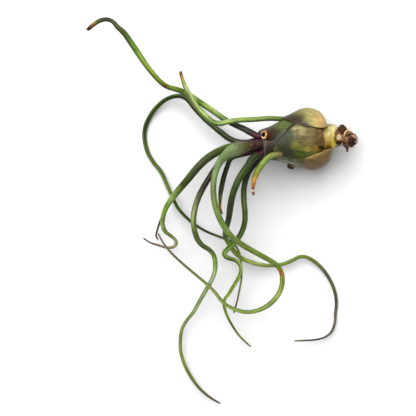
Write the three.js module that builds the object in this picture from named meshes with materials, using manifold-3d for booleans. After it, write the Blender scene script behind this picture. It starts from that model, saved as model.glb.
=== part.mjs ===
// An air plant of the bulbous, snake-leaved kind, taken off its perch and laid on a table.
// The lower part of each leaf is a thin, hollow sheath. The sheaths clasp one another in a bulb
// round a short stem. At the bulb's neck each leaf goes on as a rolled, grooved, tapering blade.
// Millimetres, +Z up, the table at z = 0. The origin is the flat spot that the bulb lies on, and
// the blades trail off towards -X and -Y.

import * as THREE from "three";
import { LoftGeometry } from "three/addons/geometries/LoftGeometry.js";
import { mergeVertices } from "three/addons/utils/BufferGeometryUtils.js";
import Module from "manifold-3d";

// ---- Driving dimensions ----

const BULB_BASE = new THREE.Vector3(10.1, 1.0, 10.3); // on the bulb's axis, where the stem comes out
const BULB_NECK = new THREE.Vector3(-19.6, -2.5, 14.3); // on the axis, where the blades come out
const VIEWPOINT = new THREE.Vector3(-40, -27.2, 800); // straight above the plant
const GAP = 0.3; // air between one leaf and the next where they press together
const THIN_SHEATH = 0.8; // the sheaths that wrap the whole bulb
const THICK_SHEATH = 0.9; // the others
const LONGEST_STEP = 4.5; // along a blade, from one section to the next
const WIDEST_ARC = 21; // degrees round a sheath, from one point to the next
const GROOVE_DEPTH = 0.45; // of the blade's half thickness, where its two margins roll together
const GROOVE_HALF_ANGLE = 38; // degrees from the groove's floor to each margin
const BLADE_SIDES = 7;
const STEM_SIDES = 14;
const ROOT_SIDES = 7;
const MERGE_DISTANCE = 1e-4;

// The hollow stub of the collar leaf's blade: where its cut face is, and how it stands.
const STUB_FACE = new THREE.Vector3(-18.4, 1.4, 21.2);
const STUB_DIRECTION = new THREE.Vector3(-0.7, -0.1, 0.7).normalize();
const STUB_RADIUS = 1.9;
const STUB_LENGTH = 3.9;
const STUB_HOLE_RADIUS = 0.8;
const STUB_HOLE_DEPTH = 2.5;

// The stem: rows of [distance along the axis from BULB_BASE, height above the axis, radius]. It sits
// to one side of the axis, and its broken end turns up.
const STEM_OFFSET = 0.5; // towards +Y
const STEM = [
  [-0.7, 0.94, 3.6],
  [-0.4, 0.78, 4.5],
  [0.2, 0.5, 4.8],
  [1.2, 0.18, 4.8],
  [3.4, 0, 5.0],
  [5.6, 0, 5.0],
  [7.2, 0, 4.6],
  [8.6, 0, 3.8],
  [10.2, 0, 2.9],
  [12.6, 0, 1.6],
];

// The dried roots and leaf scraps at the stem's end: a torn clump on a neck of pith, a broad flap,
// and a few strands. Each is a rod, in rows of [x, y, z, radius, share of it that its depth is].
const ROOT_STRANDS = [
  [[11.4, 0.4, 11.6, 2.7, 1], [12.8, 0.4, 11.0, 2.4, 1], [14.0, 0.3, 10.4, 2.5, 1]],
  [
    [13.0, 0.4, 10.8, 1.6, 0.9],
    [14.2, 0.3, 10.3, 2.8, 0.9],
    [16.0, 0.1, 9.8, 3.3, 0.9],
    [17.6, -0.1, 9.4, 2.8, 0.9],
    [18.7, -0.2, 9.2, 1.6, 0.9],
  ],
  [
    [14.4, 0.6, 11.4, 1.2, 0.5],
    [14.0, 2.2, 12.0, 1.9, 0.4],
    [12.9, 4.0, 12.5, 2.0, 0.4],
    [11.7, 5.3, 12.7, 1.0, 0.4],
  ],
  [[15.4, 1.4, 11.4, 1.2, 0.8], [15.8, 2.9, 12.0, 0.8, 0.6], [16.3, 4.3, 12.2, 0.4, 1]],
  [[14.8, -1.0, 9.4, 1.3, 1], [15.0, -2.8, 8.2, 0.9, 1], [15.3, -4.9, 7.4, 0.4, 1]],
  [[14.2, -0.8, 8.8, 1.3, 1], [14.0, -2.2, 7.4, 0.8, 1], [13.8, -3.2, 6.0, 0.4, 1]],
];

// ---- The leaves, from the outermost in ----
//
// A sheath has rows of [distance along the axis, outer radius, first angle, last angle]. Angles go
// round the axis in degrees: 0 towards +Y, 90 up, 180 towards -Y, 270 down to the table. A sheath
// that bulges more to one side has its arcs' centre moved that way: bulge is [angle, distance].
//
// A blade starts inside its sheath, in rows of [distance along the axis, distance from it, angle,
// width], and goes on in rows of [x, y, height, width, thickness if it is flatter than wide]. There
// x and y are where the blade's middle line is seen against the table from VIEWPOINT.

// The sheaths inside the bulb share two profiles: [distance along, outer radius, share of width].
const MIDDLE_PROFILE = [
  [9.2, 4.6, 0.9],
  [9.8, 6.6, 1],
  [11, 7.8, 1],
  [12.6, 8.4, 1],
  [16, 8.3, 1],
  [19.2, 7.8, 1],
  [22, 7.0, 1],
  [25.2, 6.0, 1],
  [28, 5.2, 0.85],
  [30.5, 4.6, 0.5],
];
const INNER_PROFILE = [
  [10.8, 3.6, 0.9],
  [11.4, 5.6, 1],
  [13, 6.9, 1],
  [16, 7.0, 1],
  [19.2, 6.5, 1],
  [22, 5.7, 1],
  [25.2, 4.7, 0.9],
  [28, 3.6, 0.7],
  [30.5, 2.9, 0.4],
];

const LEAVES = [
  {
    name: "leaf_low_cut",
    colour: 0xa08a5c,
    thickness: THICK_SHEATH,
    bulge: [210, 0.3],
    sheath: [
      [2.2, 5.5, 114, 300],
      [2.7, 7.6, 112, 300],
      [3.5, 9.5, 111, 300],
      [5.0, 10.8, 111, 300],
      [7.0, 11.7, 114, 300],
      [10.0, 12.2, 119, 300],
      [12.4, 11.8, 125, 296],
      [14.4, 11.1, 132, 285],
      [16.4, 10.6, 150, 262],
      [17.8, 10.3, 178, 234],
      [19.0, 10.2, 194, 214],
    ],
  },
  {
    name: "leaf_top_hook",
    colour: 0x8f9455,
    thickness: THICK_SHEATH,
    bulge: [2, 1.2],
    sheath: [
      [3.2, 6.2, -56, 56],
      [3.9, 8.6, -58, 65],
      [5.2, 10.6, -59, 73],
      [8.8, 12.4, -59, 74],
      [12.0, 12.6, -59, 70],
      [15.2, 11.5, -48, 62],
      [18.0, 10.5, -25, 44],
      [20.5, 9.9, -9, 14],
    ],
    start: [
      [17.5, 9.6, 2, 2.0],
      [20.0, 9.1, 2, 2.2],
    ],
    blade: [
      [-15.2, 8.5, 15.2, 2.2],
      [-21.2, 8.1, 16.2, 2.2],
      [-27.2, 7.8, 17.0, 2.2],
      [-32.2, 7.1, 17.5, 2.2],
      [-35.2, 6.4, 17.6, 2.2],
      [-38.0, 7.0, 17.4, 2.2],
      [-41.0, 9.5, 17.2, 2.15],
      [-44.4, 13.1, 17.2, 2.1],
      [-47.2, 17.6, 17.8, 2.0],
      [-49.6, 22.1, 19.0, 1.5],
      [-51.3, 27.6, 21.0, 0.7],
    ],
  },
  {
    name: "leaf_short_yellow",
    colour: 0x7d8450,
    thickness: THIN_SHEATH,
    sheath: [
      [6.2, 5.6, 52, 190],
      [6.8, 8.2, 48, 192],
      [8.2, 10.0, 45, 193],
      [10.0, 10.7, 44, 193],
      [12.8, 10.8, 42, 193],
      [14.6, 10.7, 42, 186],
      [16.4, 10.6, 44, 171],
      [19.0, 10.1, 53, 156],
      [21.0, 9.7, 64, 150],
      [22.8, 9.1, 75, 145],
      [24.4, 8.6, 85, 140],
      [25.6, 8.1, 94, 136],
      [26.4, 7.8, 102, 130],
    ],
    start: [
      [21.0, 8.8, 118, 1.8],
      [22.8, 8.4, 118, 2.0],
    ],
    blade: [
      [-14.4, -6.2, 21.3, 2.2],
      [-17.2, -8.4, 21.2, 2.4],
      [-19.6, -11.4, 20.2, 2.6],
      [-21.2, -14.8, 18.6, 2.2],
      [-21.9, -18.4, 17.0, 1.6],
      [-21.8, -21.8, 15.6, 0.7],
    ],
  },
  {
    name: "leaf_collar_cut",
    colour: 0x6f7550,
    thickness: THIN_SHEATH,
    cutToStub: true,
    sheath: [
      [7.8, 5.0, -42, 148],
      [8.6, 7.6, -45, 150],
      [10.0, 9.0, -50, 155],
      [12.4, 9.6, -52, 158],
      [16.0, 9.5, -56, 162],
      [19.2, 9.0, -62, 168],
      [22.0, 8.2, -67, 173],
      [25.2, 7.0, -72, 178],
      [28.0, 6.3, -72, 178],
      [30.0, 5.9, -68, 174],
    ],
  },
  {
    name: "leaf_front_loop",
    colour: 0x5d8a3c,
    thickness: THICK_SHEATH,
    sheath: nested(MIDDLE_PROFILE, 47, 123),
    start: [
      [27.0, 3.6, 85, 2.6],
      [30.5, 3.7, 85, 3.2],
    ],
    blade: [
      [-24.6, -2.5, 22.0, 4.8, 2.6],
      [-28.0, -3.4, 26.8, 5.6, 2.6],
      [-31.2, -4.9, 30.8, 4.6, 2.6],
      [-34.8, -8.0, 35.0, 3.3, 2.5],
      [-36.8, -12.0, 38.0, 2.6],
      [-37.7, -16.0, 39.5, 2.4],
      [-37.9, -20.4, 40.2, 2.4],
      [-37.4, -24.8, 40.3, 2.4],
      [-36.2, -29.2, 40.0, 2.4],
      [-34.0, -34.0, 39.0, 2.35],
      [-30.4, -38.8, 37.5, 2.3],
      [-26.8, -41.6, 36.0, 2.3],
      [-23.2, -43.8, 34.5, 2.2],
      [-19.2, -46.0, 32.8, 2.1],
      [-15.2, -48.2, 31.0, 2.0],
      [-12.4, -50.2, 29.5, 1.85],
      [-10.8, -52.6, 28.0, 1.7],
      [-10.3, -56.0, 26.0, 1.75],
      [-10.8, -59.2, 24.0, 1.8],
      [-12.6, -62.7, 22.0, 1.8],
      [-15.8, -65.9, 20.0, 1.75],
      [-20.0, -68.0, 18.4, 1.6],
      [-24.6, -68.7, 17.0, 1.5],
      [-29.6, -67.5, 15.8, 1.4],
      [-34.0, -64.8, 15.0, 1.35],
      [-37.6, -60.4, 14.2, 1.3],
      [-40.8, -57.3, 13.5, 1.2],
      [-45.2, -53.6, 12.8, 1.1],
      [-49.2, -50.2, 12.0, 1.0],
      [-53.2, -46.6, 11.0, 0.95],
      [-56.8, -42.6, 10.0, 0.9],
      [-58.8, -39.6, 9.7, 0.75],
      [-60.0, -37.0, 9.5, 0.7],
    ],
  },
  {
    name: "leaf_right_loop",
    colour: 0x47632f,
    thickness: THICK_SHEATH,
    sheath: nested(MIDDLE_PROFILE, 127, 163),
    start: [
      [27.0, 3.8, 145, 2.4],
      [30.3, 4.0, 145, 3.0],
    ],
    blade: [
      [-22.4, -7.6, 18.0, 3.9, 3.0],
      [-24.2, -10.4, 19.4, 3.8, 2.9],
      [-26.8, -14.0, 20.4, 3.4, 2.8],
      [-29.0, -18.4, 20.2, 3.2, 2.7],
      [-30.4, -22.8, 18.8, 3.1, 2.6],
      [-31.2, -27.2, 16.8, 3.0, 2.5],
      [-31.8, -31.6, 14.6, 2.6, 2.3],
      [-32.8, -35.2, 12.6, 2.1],
      [-33.2, -38.0, 11.0, 2.0],
      [-32.2, -40.6, 9.4, 2.0],
      [-30.4, -43.4, 7.6, 2.0],
      [-28.4, -45.8, 6.2, 1.85],
      [-26.0, -47.6, 5.2, 1.7],
      [-22.4, -49.0, 4.2, 1.6],
      [-18.4, -50.0, 3.7, 1.55],
      [-14.4, -50.2, 3.5, 1.5],
      [-10.0, -49.6, 3.4, 1.5],
      [-6.4, -48.2, 3.2, 1.5],
      [-3.6, -46.8, 3.0, 1.5],
      [-1.2, -46.7, 2.6, 1.5],
      [2.0, -48.2, 2.2, 1.5],
      [5.6, -51.4, 1.7, 1.45],
      [8.8, -56.0, 1.2, 1.35],
      [10.8, -61.2, 0.8, 1.3],
      [11.3, -65.6, 0.55, 1.25],
      [10.9, -69.6, 0.75, 1.15],
      [10.7, -72.8, 1.0, 1.05],
      [9.4, -76.6, 1.6, 0.95],
      [6.8, -78.8, 2.4, 0.85],
      [2.8, -79.9, 3.4, 0.8],
      [-1.6, -80.2, 4.6, 0.75],
      [-6.0, -80.4, 6.2, 0.7],
    ],
  },
  {
    name: "leaf_far_left",
    colour: 0x5f8a3e,
    thickness: THICK_SHEATH,
    sheath: nested(MIDDLE_PROFILE, -26, 26),
    start: [
      [27.0, 3.7, 0, 1.9],
      [30.5, 3.6, 0, 2.3],
    ],
    blade: [
      [-22.8, 3.0, 14.2, 2.4],
      [-25.7, 4.5, 13.7, 2.4],
      [-29.3, 5.9, 13.0, 2.3],
      [-33.4, 8.1, 12.0, 2.2],
      [-38.8, 11.9, 11.5, 2.2],
      [-44.2, 15.5, 11.5, 2.3],
      [-47.6, 17.8, 11.8, 2.3],
      [-50.4, 19.3, 12.3, 2.2],
      [-53.3, 20.3, 12.8, 2.1],
      [-56.4, 21.2, 13.4, 2.0],
      [-59.6, 23.6, 14.5, 2.1],
      [-64.6, 29.5, 16.5, 2.3],
      [-69.1, 36.1, 18.6, 2.6],
      [-73.8, 42.8, 21.0, 2.4],
      [-76.4, 45.2, 22.0, 1.8],
      [-78.1, 47.2, 22.6, 1.7],
      [-80.4, 48.1, 23.0, 1.8],
      [-83.2, 47.6, 23.0, 1.7],
      [-85.8, 46.2, 22.5, 1.4],
      [-88.3, 44.1, 21.5, 0.9],
    ],
  },
  {
    name: "leaf_lower_kinked",
    colour: 0x3f5c2c,
    thickness: THICK_SHEATH,
    sheath: nested(MIDDLE_PROFILE, 166, 204),
    start: [
      [25.5, 4.6, 186, 1.9],
      [28.5, 4.9, 189, 2.2],
    ],
    blade: [
      [-20.8, -9.2, 13.2, 2.4],
      [-23.2, -11.8, 14.4, 2.6],
      [-24.8, -15.2, 16.0, 2.5],
      [-25.7, -19.6, 18.6, 2.4],
      [-25.7, -24.0, 21.0, 2.3],
      [-25.3, -28.4, 22.0, 2.2],
      [-25.3, -32.4, 21.4, 2.2],
      [-26.3, -36.2, 19.6, 2.1],
      [-28.2, -39.6, 17.4, 2.0],
      [-30.6, -42.2, 15.4, 1.9],
      [-32.8, -44.2, 14.0, 1.8],
      [-33.6, -45.6, 13.4, 1.75],
      [-32.8, -46.8, 13.0, 1.7],
      [-30.8, -47.6, 13.0, 1.65],
      [-28.6, -48.4, 13.0, 1.6],
      [-27.2, -50.0, 12.9, 1.55],
      [-26.9, -52.4, 12.5, 1.5],
      [-28.0, -55.4, 11.8, 1.45],
      [-29.8, -58.4, 11.2, 1.4],
      [-31.6, -61.4, 10.6, 1.35],
      [-33.3, -63.8, 10.2, 1.3],
      [-33.6, -66.0, 10.0, 1.3],
      [-32.6, -69.6, 8.8, 1.2],
      [-30.4, -74.0, 6.6, 1.05],
      [-27.2, -78.6, 4.6, 0.9],
      [-22.6, -83.0, 3.4, 0.7],
    ],
  },
  {
    name: "leaf_left_arc",
    colour: 0x6b8f45,
    thickness: THICK_SHEATH,
    sheath: nested(INNER_PROFILE, -33, 123),
    start: [
      [27.5, 1.7, 45, 2.3],
      [30.5, 1.6, 45, 2.7],
    ],
    blade: [
      [-25.5, -1.5, 17.6, 3.1],
      [-30.4, -2.7, 20.6, 3.2],
      [-34.4, -4.0, 22.6, 3.2],
      [-39.2, -6.6, 24.5, 3.2],
      [-43.2, -10.0, 25.5, 3.2],
      [-48.6, -16.4, 24.0, 3.0],
      [-53.6, -22.4, 20.0, 2.6],
      [-56.4, -26.4, 18.0, 2.2],
      [-57.9, -30.4, 16.0, 1.9],
      [-58.1, -34.0, 13.8, 1.75],
      [-57.0, -36.6, 12.2, 1.65],
      [-55.0, -38.2, 10.6, 1.5],
      [-53.2, -39.8, 8.6, 1.35],
      [-52.7, -41.4, 7.2, 1.3],
      [-53.8, -42.7, 6.4, 1.2],
      [-55.6, -43.1, 6.0, 1.1],
      [-57.6, -42.8, 6.0, 1.0],
      [-60.4, -41.9, 6.3, 0.85],
      [-63.2, -41.0, 7.0, 0.75],
      [-66.2, -39.0, 8.2, 0.7],
    ],
  },
  {
    name: "leaf_long_lower",
    colour: 0x5a8139,
    thickness: THICK_SHEATH,
    sheath: nested(INNER_PROFILE, 125, 275),
    start: [
      [27.5, 1.5, 180, 1.8],
      [30.5, 1.6, 180, 2.2],
    ],
    blade: [
      [-25.0, -4.1, 14.8, 2.4],
      [-30.4, -4.9, 16.6, 2.4],
      [-34.4, -7.6, 19.4, 2.4],
      [-37.2, -11.4, 21.8, 2.35],
      [-40.4, -16.4, 23.0, 2.3],
      [-43.2, -21.4, 22.0, 2.25],
      [-45.1, -26.4, 20.2, 2.2],
      [-45.9, -31.2, 18.2, 2.2],
      [-45.6, -35.6, 16.4, 2.1],
      [-44.4, -39.6, 15.2, 2.05],
      [-42.4, -42.2, 14.5, 2.0],
      [-39.6, -44.0, 13.8, 1.95],
      [-37.9, -46.0, 13.0, 1.9],
      [-37.2, -48.8, 12.2, 1.85],
      [-37.3, -52.0, 11.5, 1.8],
      [-38.4, -55.6, 10.5, 1.75],
      [-40.6, -59.6, 9.4, 1.7],
      [-43.4, -64.4, 7.6, 1.55],
      [-46.0, -69.0, 5.8, 1.45],
      [-48.6, -72.2, 4.8, 1.4],
      [-50.4, -75.6, 4.0, 1.3],
      [-51.1, -79.6, 3.4, 1.25],
      [-51.0, -84.4, 3.0, 1.2],
      [-49.4, -89.8, 2.7, 1.2],
      [-46.8, -94.8, 2.6, 1.2],
      [-43.2, -99.6, 2.8, 1.1],
      [-39.2, -103.0, 3.2, 0.9],
      [-34.8, -105.6, 4.0, 0.7],
    ],
  },
  {
    name: "leaf_left_sweep",
    colour: 0x638f40,
    thickness: THICK_SHEATH,
    sheath: nested(MIDDLE_PROFILE, -71, -29),
    start: [
      [27.0, 3.7, -50, 1.9],
      [30.5, 3.6, -50, 2.2],
    ],
    blade: [
      [-24.8, -1.0, 11.2, 2.3],
      [-28.8, -0.6, 10.4, 2.4],
      [-32.0, 0.8, 9.4, 2.5],
      [-34.8, 3.0, 8.4, 2.5],
      [-39.2, 6.4, 7.2, 2.0],
      [-42.4, 9.4, 6.4, 2.1],
      [-45.6, 13.0, 5.8, 2.2],
      [-48.8, 16.6, 5.2, 2.0],
      [-52.0, 17.6, 4.6, 1.8],
      [-56.8, 16.2, 3.4, 1.8],
      [-61.8, 11.6, 2.0, 1.9],
      [-64.8, 6.0, 1.2, 1.9],
      [-65.4, 0.8, 0.85, 1.84],
      [-64.0, -5.2, 1.1, 1.75],
      [-61.6, -9.2, 1.4, 1.7],
      [-59.0, -12.4, 1.9, 1.7],
      [-56.8, -17.0, 2.6, 1.7],
      [-54.6, -22.0, 3.4, 1.75],
      [-52.0, -27.2, 4.1, 1.8],
      [-47.8, -31.8, 5.0, 1.7],
      [-44.4, -34.4, 5.6, 1.55],
      [-40.0, -36.9, 6.4, 1.4],
      [-34.4, -39.1, 7.3, 1.2],
      [-30.8, -40.6, 8.2, 1.1],
      [-28.4, -43.2, 9.0, 1.0],
      [-27.2, -46.4, 9.5, 0.95],
      [-26.7, -50.4, 9.5, 0.9],
      [-26.6, -54.8, 9.0, 0.85],
      [-27.4, -60.0, 8.7, 0.8],
      [-28.8, -66.2, 8.6, 0.75],
      [-29.8, -69.6, 8.4, 0.7],
    ],
  },
  {
    name: "leaf_short_inner",
    colour: 0x44602e,
    thickness: THICK_SHEATH,
    sheath: nested(MIDDLE_PROFILE, 207, 243),
    start: [
      [27.0, 3.5, 225, 1.6],
      [30.5, 3.5, 225, 1.9],
    ],
    blade: [
      [-25.5, -5.6, 11.0, 2.0],
      [-30.8, -7.4, 10.2, 2.0],
      [-32.4, -10.8, 10.0, 2.0],
      [-33.8, -15.2, 10.0, 2.0],
      [-34.8, -20.0, 9.6, 1.7],
      [-35.2, -24.0, 9.0, 1.3],
      [-35.1, -27.0, 8.2, 1.0],
      [-34.2, -30.0, 7.2, 0.7],
    ],
  },
  {
    name: "leaf_left_under",
    colour: 0x567a3a,
    thickness: THICK_SHEATH,
    sheath: nested(MIDDLE_PROFILE, -115, -75),
    start: [
      [27.0, 3.7, -95, 1.9],
      [30.5, 3.6, -95, 2.2],
    ],
    blade: [
      [-24.8, -2.9, 9.0, 2.3],
      [-30.4, -3.2, 7.4, 2.4],
      [-39.2, -6.8, 7.4, 2.2],
      [-43.2, -10.2, 8.0, 2.1],
      [-48.4, -16.4, 8.4, 1.8],
      [-53.2, -22.4, 8.0, 1.5],
      [-56.0, -26.4, 7.2, 1.2],
      [-58.0, -30.0, 6.0, 1.0],
      [-59.1, -32.4, 5.0, 0.9],
      [-60.5, -36.8, 3.4, 0.8],
      [-60.7, -38.6, 3.0, 0.75],
      [-59.8, -40.1, 2.6, 0.7],
    ],
  },
];

// ---- Places ----

// A sheath inside the bulb, from the profile that it shares with its neighbours.
function nested(profile, first, last) {
  const middle = (first + last) / 2;
  const half = (last - first) / 2;
  return profile.map(([along, radius, share]) => [
    along,
    radius,
    middle - half * share,
    middle + half * share,
  ]);
}

// The bulb's own directions: along its axis, and the two that angles round it are measured in.
const ALONG = BULB_NECK.clone().sub(BULB_BASE).normalize();
const SIDE = new THREE.Vector3(0, 1, 0).projectOnPlane(ALONG).normalize();
const UP = new THREE.Vector3().crossVectors(SIDE, ALONG);

// The direction away from the bulb's axis at an angle in degrees.
function outward(angle) {
  const turn = THREE.MathUtils.degToRad(angle);
  return SIDE.clone().multiplyScalar(Math.cos(turn)).addScaledVector(UP, Math.sin(turn));
}

function onBulb(along, radius, angle) {
  return BULB_BASE.clone().addScaledVector(ALONG, along).addScaledVector(outward(angle), radius);
}

// The point at a height that is seen against the table at x and y from VIEWPOINT.
function seenAt(x, y, height) {
  return new THREE.Vector3(x, y, 0).lerp(VIEWPOINT, height / VIEWPOINT.z);
}

// ---- Solids ----

const manifold = await Module();
manifold.setup();

// A closed three.js geometry as a solid that can be joined and cut.
function solidOf(geometry) {
  const bare = new THREE.BufferGeometry();
  bare.setAttribute("position", geometry.getAttribute("position"));
  bare.setIndex(geometry.getIndex());
  const merged = mergeVertices(bare, MERGE_DISTANCE);
  return new manifold.Manifold(
    new manifold.Mesh({
      numProp: 3,
      vertProperties: merged.getAttribute("position").array,
      triVerts: new Uint32Array(merged.getIndex().array),
    }),
  );
}

function loft(sections) {
  return solidOf(new LoftGeometry(sections, { capStart: true, capEnd: true }));
}

// How a value of a sheath's rows changes round one of them, over the rows before and after it.
function changeAt(rows, row, valueOf) {
  const before = rows[Math.max(row - 1, 0)];
  const after = rows[Math.min(row + 1, rows.length - 1)];
  return valueOf(after) - valueOf(before);
}

// How far, in degrees, a sheath's margin moves out round the axis to grow by a distance square to it.
function widening(rows, row, column, grown) {
  const [, radius] = rows[row];
  const turned = THREE.MathUtils.degToRad(changeAt(rows, row, (values) => values[column]));
  const along = changeAt(rows, row, ([place]) => place);
  return THREE.MathUtils.radToDeg(grown / radius) * Math.hypot(1, (turned * radius) / along);
}

// The points round one section of a sheath: along its outside, and back along its inside.
function sheathSection(leaf, row, arcs, grown) {
  const rows = leaf.sheath;
  const [along, radius, first, last] = rows[row];
  const [bulgeAngle, bulge] = leaf.bulge ?? [0, 0];
  const wall = new THREE.Vector2(
    changeAt(rows, row, ([place]) => place),
    changeAt(rows, row, ([, reach]) => reach),
  ).normalize();
  const lengthened = { 0: -grown, [rows.length - 1]: grown }[row] ?? 0;
  const from = first - widening(rows, row, 2, grown);
  const to = last + widening(rows, row, 3, grown);
  const arc = (outwards) => {
    const place = along - wall.y * outwards + wall.x * lengthened;
    const reach = radius - bulge + wall.x * outwards + wall.y * lengthened;
    const centre = onBulb(place, bulge, bulgeAngle);
    return Array.from({ length: arcs + 1 }, (_, i) => {
      const angle = THREE.MathUtils.lerp(from, to, i / arcs);
      return centre.clone().addScaledVector(outward(angle), reach);
    });
  };
  return [...arc(grown).reverse(), ...arc(-leaf.thickness - grown)];
}

function sheathSolid(leaf, grown) {
  const widest = Math.max(...leaf.sheath.map(([, , first, last]) => last - first));
  const arcs = Math.ceil(widest / WIDEST_ARC);
  return loft(leaf.sheath.map((_, row) => sheathSection(leaf, row, arcs, grown)));
}

// The stations of a blade, evenly spread along a smooth curve through its rows.
function bladeStations(leaf) {
  const places = [
    ...leaf.start.map(([along, radius, angle]) => onBulb(along, radius, angle)),
    ...leaf.blade.map(([x, y, height]) => seenAt(x, y, height)),
  ];
  const sizes = [
    ...leaf.start.map(([, , , width]) => [width, width]),
    ...leaf.blade.map(([, , , width, thickness]) => [width, thickness ?? width]),
  ];
  const curve = new THREE.CatmullRomCurve3(places, false, "centripetal");
  const spans = places.length - 1;
  const stations = [];
  for (let span = 0; span < spans; span++) {
    const steps = Math.ceil(places[span].distanceTo(places[span + 1]) / LONGEST_STEP);
    for (let step = 0; step < steps; step++) {
      stations.push(station(curve, spans, sizes, span, step / steps));
    }
  }
  stations.push(station(curve, spans, sizes, spans - 1, 1));
  return stations;
}

function station(curve, spans, sizes, span, part) {
  const [width, thickness] = sizes[span];
  const [nextWidth, nextThickness] = sizes[span + 1];
  const t = (span + part) / spans;
  return {
    place: curve.getPoint(t),
    tangent: curve.getTangent(t),
    width: THREE.MathUtils.lerp(width, nextWidth, part),
    thickness: THREE.MathUtils.lerp(thickness, nextThickness, part),
  };
}

// The angles of a blade section's points from the leaf's back. The groove's floor is at 180.
function bladeAngles() {
  const margin = 180 - GROOVE_HALF_ANGLE;
  const across = BLADE_SIDES - 2;
  const rounded = Array.from({ length: across + 1 }, (_, i) => -margin + (2 * margin * i) / across);
  return [...rounded, 180];
}

// A blade: its sections keep the groove on the side that faces the bulb's axis as it starts.
function bladeSolid(leaf, grown) {
  const back = outward(leaf.start[0][2]);
  const angles = bladeAngles();
  const stations = bladeStations(leaf);
  const lengthened = { 0: -grown, [stations.length - 1]: grown };
  const sections = stations.map(({ place, tangent, width, thickness }, row) => {
    back.projectOnPlane(tangent).normalize();
    place.addScaledVector(tangent, lengthened[row] ?? 0);
    const across = new THREE.Vector3().crossVectors(tangent, back);
    return angles.map((angle) => {
      const turn = THREE.MathUtils.degToRad(angle);
      const share = angle === 180 ? 1 - GROOVE_DEPTH : 1;
      const deep = ((thickness / 2) * share + grown) * Math.cos(turn);
      const wide = (width / 2 + grown) * Math.sin(turn);
      return place.clone().addScaledVector(back, deep).addScaledVector(across, wide);
    });
  });
  return loft(sections);
}

// A rod through rows of [place, radius, share of it that its depth is], each section square to it.
function rod(rows, sides, grown = 0) {
  const normal = new THREE.Vector3(0, 0, 1);
  const lengthened = { 0: -grown, [rows.length - 1]: grown };
  const sections = rows.map(([place, radius, depth = 1], row) => {
    const before = rows[Math.max(row - 1, 0)][0];
    const after = rows[Math.min(row + 1, rows.length - 1)][0];
    const tangent = after.clone().sub(before).normalize();
    const across = new THREE.Vector3().crossVectors(tangent, normal).normalize();
    normal.crossVectors(across, tangent);
    return Array.from({ length: sides }, (_, i) => {
      const turn = (2 * Math.PI * i) / sides;
      return place
        .clone()
        .addScaledVector(tangent, lengthened[row] ?? 0)
        .addScaledVector(normal, (radius * depth + grown) * Math.cos(turn))
        .addScaledVector(across, (radius + grown) * Math.sin(turn));
    });
  });
  return loft(sections);
}

// ---- Pieces ----

function stem(grown) {
  const rows = STEM.map(([along, rise, radius]) => [
    onBulb(along, STEM_OFFSET, 0).addScaledVector(UP, rise),
    radius,
  ]);
  return rod(rows, STEM_SIDES, grown);
}

// The dried strands all start in the clump at the stem's end, and make one tuft with it.
function roots(grown) {
  return ROOT_STRANDS.map((strand) => {
    const rows = strand.map(([x, y, z, ...size]) => [new THREE.Vector3(x, y, z), ...size]);
    return rod(rows, ROOT_SIDES, grown);
  }).reduce((tuft, strand) => tuft.add(strand));
}

// What is left of the collar leaf's cut blade: a short tube with a blind hole in its cut face.
function stub(grown) {
  const foot = STUB_FACE.clone().addScaledVector(STUB_DIRECTION, -STUB_LENGTH);
  const bottom = STUB_FACE.clone().addScaledVector(STUB_DIRECTION, -STUB_HOLE_DEPTH);
  const mouth = STUB_FACE.clone().add(STUB_DIRECTION);
  const wall = rod([[foot, STUB_RADIUS], [STUB_FACE, STUB_RADIUS]], STEM_SIDES, grown);
  if (grown > 0) return wall;
  const hole = rod([[bottom, STUB_HOLE_RADIUS], [mouth, STUB_HOLE_RADIUS]], BLADE_SIDES);
  return wall.subtract(hole);
}

function leafSolid(leaf, grown) {
  let solid = sheathSolid(leaf, grown);
  if (leaf.blade) solid = solid.add(bladeSolid(leaf, grown));
  if (leaf.cutToStub) solid = solid.add(stub(grown));
  return solid;
}

// Everything under the table's surface, which flattens the spots that the plant lies on.
function belowTable() {
  const size = 400;
  const slab = new THREE.BoxGeometry(size, size, size).translate(0, 0, -size / 2);
  return solidOf(slab);
}

// The largest body of a solid that a cut has left in several.
function largest(solid) {
  return solid.decompose().reduce((best, body) => (body.volume() > best.volume() ? body : best));
}

function meshOf(name, solid, colour) {
  const { vertProperties, triVerts } = solid.getMesh();
  const geometry = new THREE.BufferGeometry();
  geometry.setAttribute("position", new THREE.Float32BufferAttribute(vertProperties, 3));
  geometry.setIndex([...triVerts]);
  geometry.computeVertexNormals();
  const material = new THREE.MeshStandardMaterial({ color: colour, roughness: 0.6, metalness: 0 });
  const mesh = new THREE.Mesh(geometry, material);
  mesh.name = name;
  return mesh;
}

// Each piece gives way to those before it, so that all of them fit in the bulb with air between.
function assemble() {
  const pieces = [
    { name: "stem", colour: 0xb0ac4e, shape: stem },
    ...LEAVES.map((leaf) => ({
      name: leaf.name,
      colour: leaf.colour,
      shape: (grown) => leafSolid(leaf, grown),
    })),
    { name: "roots", colour: 0x4a3020, shape: roots },
  ];
  const plant = new THREE.Group();
  let taken = belowTable();
  for (const { name, colour, shape } of pieces) {
    plant.add(meshOf(name, largest(shape(0).subtract(taken)), colour));
    taken = taken.add(shape(GAP));
  }
  return plant;
}

export default assemble();
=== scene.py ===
# An air plant of the bulbous, snake-leaved kind, lying on a table and seen from straight above.
# The bulb is made of hollow leaf sheaths that clasp a short stem, and each sheath rolls up into a
# grooved, tapering blade. Sizes are written in millimetres, and MM turns them into metres.

import math

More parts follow.
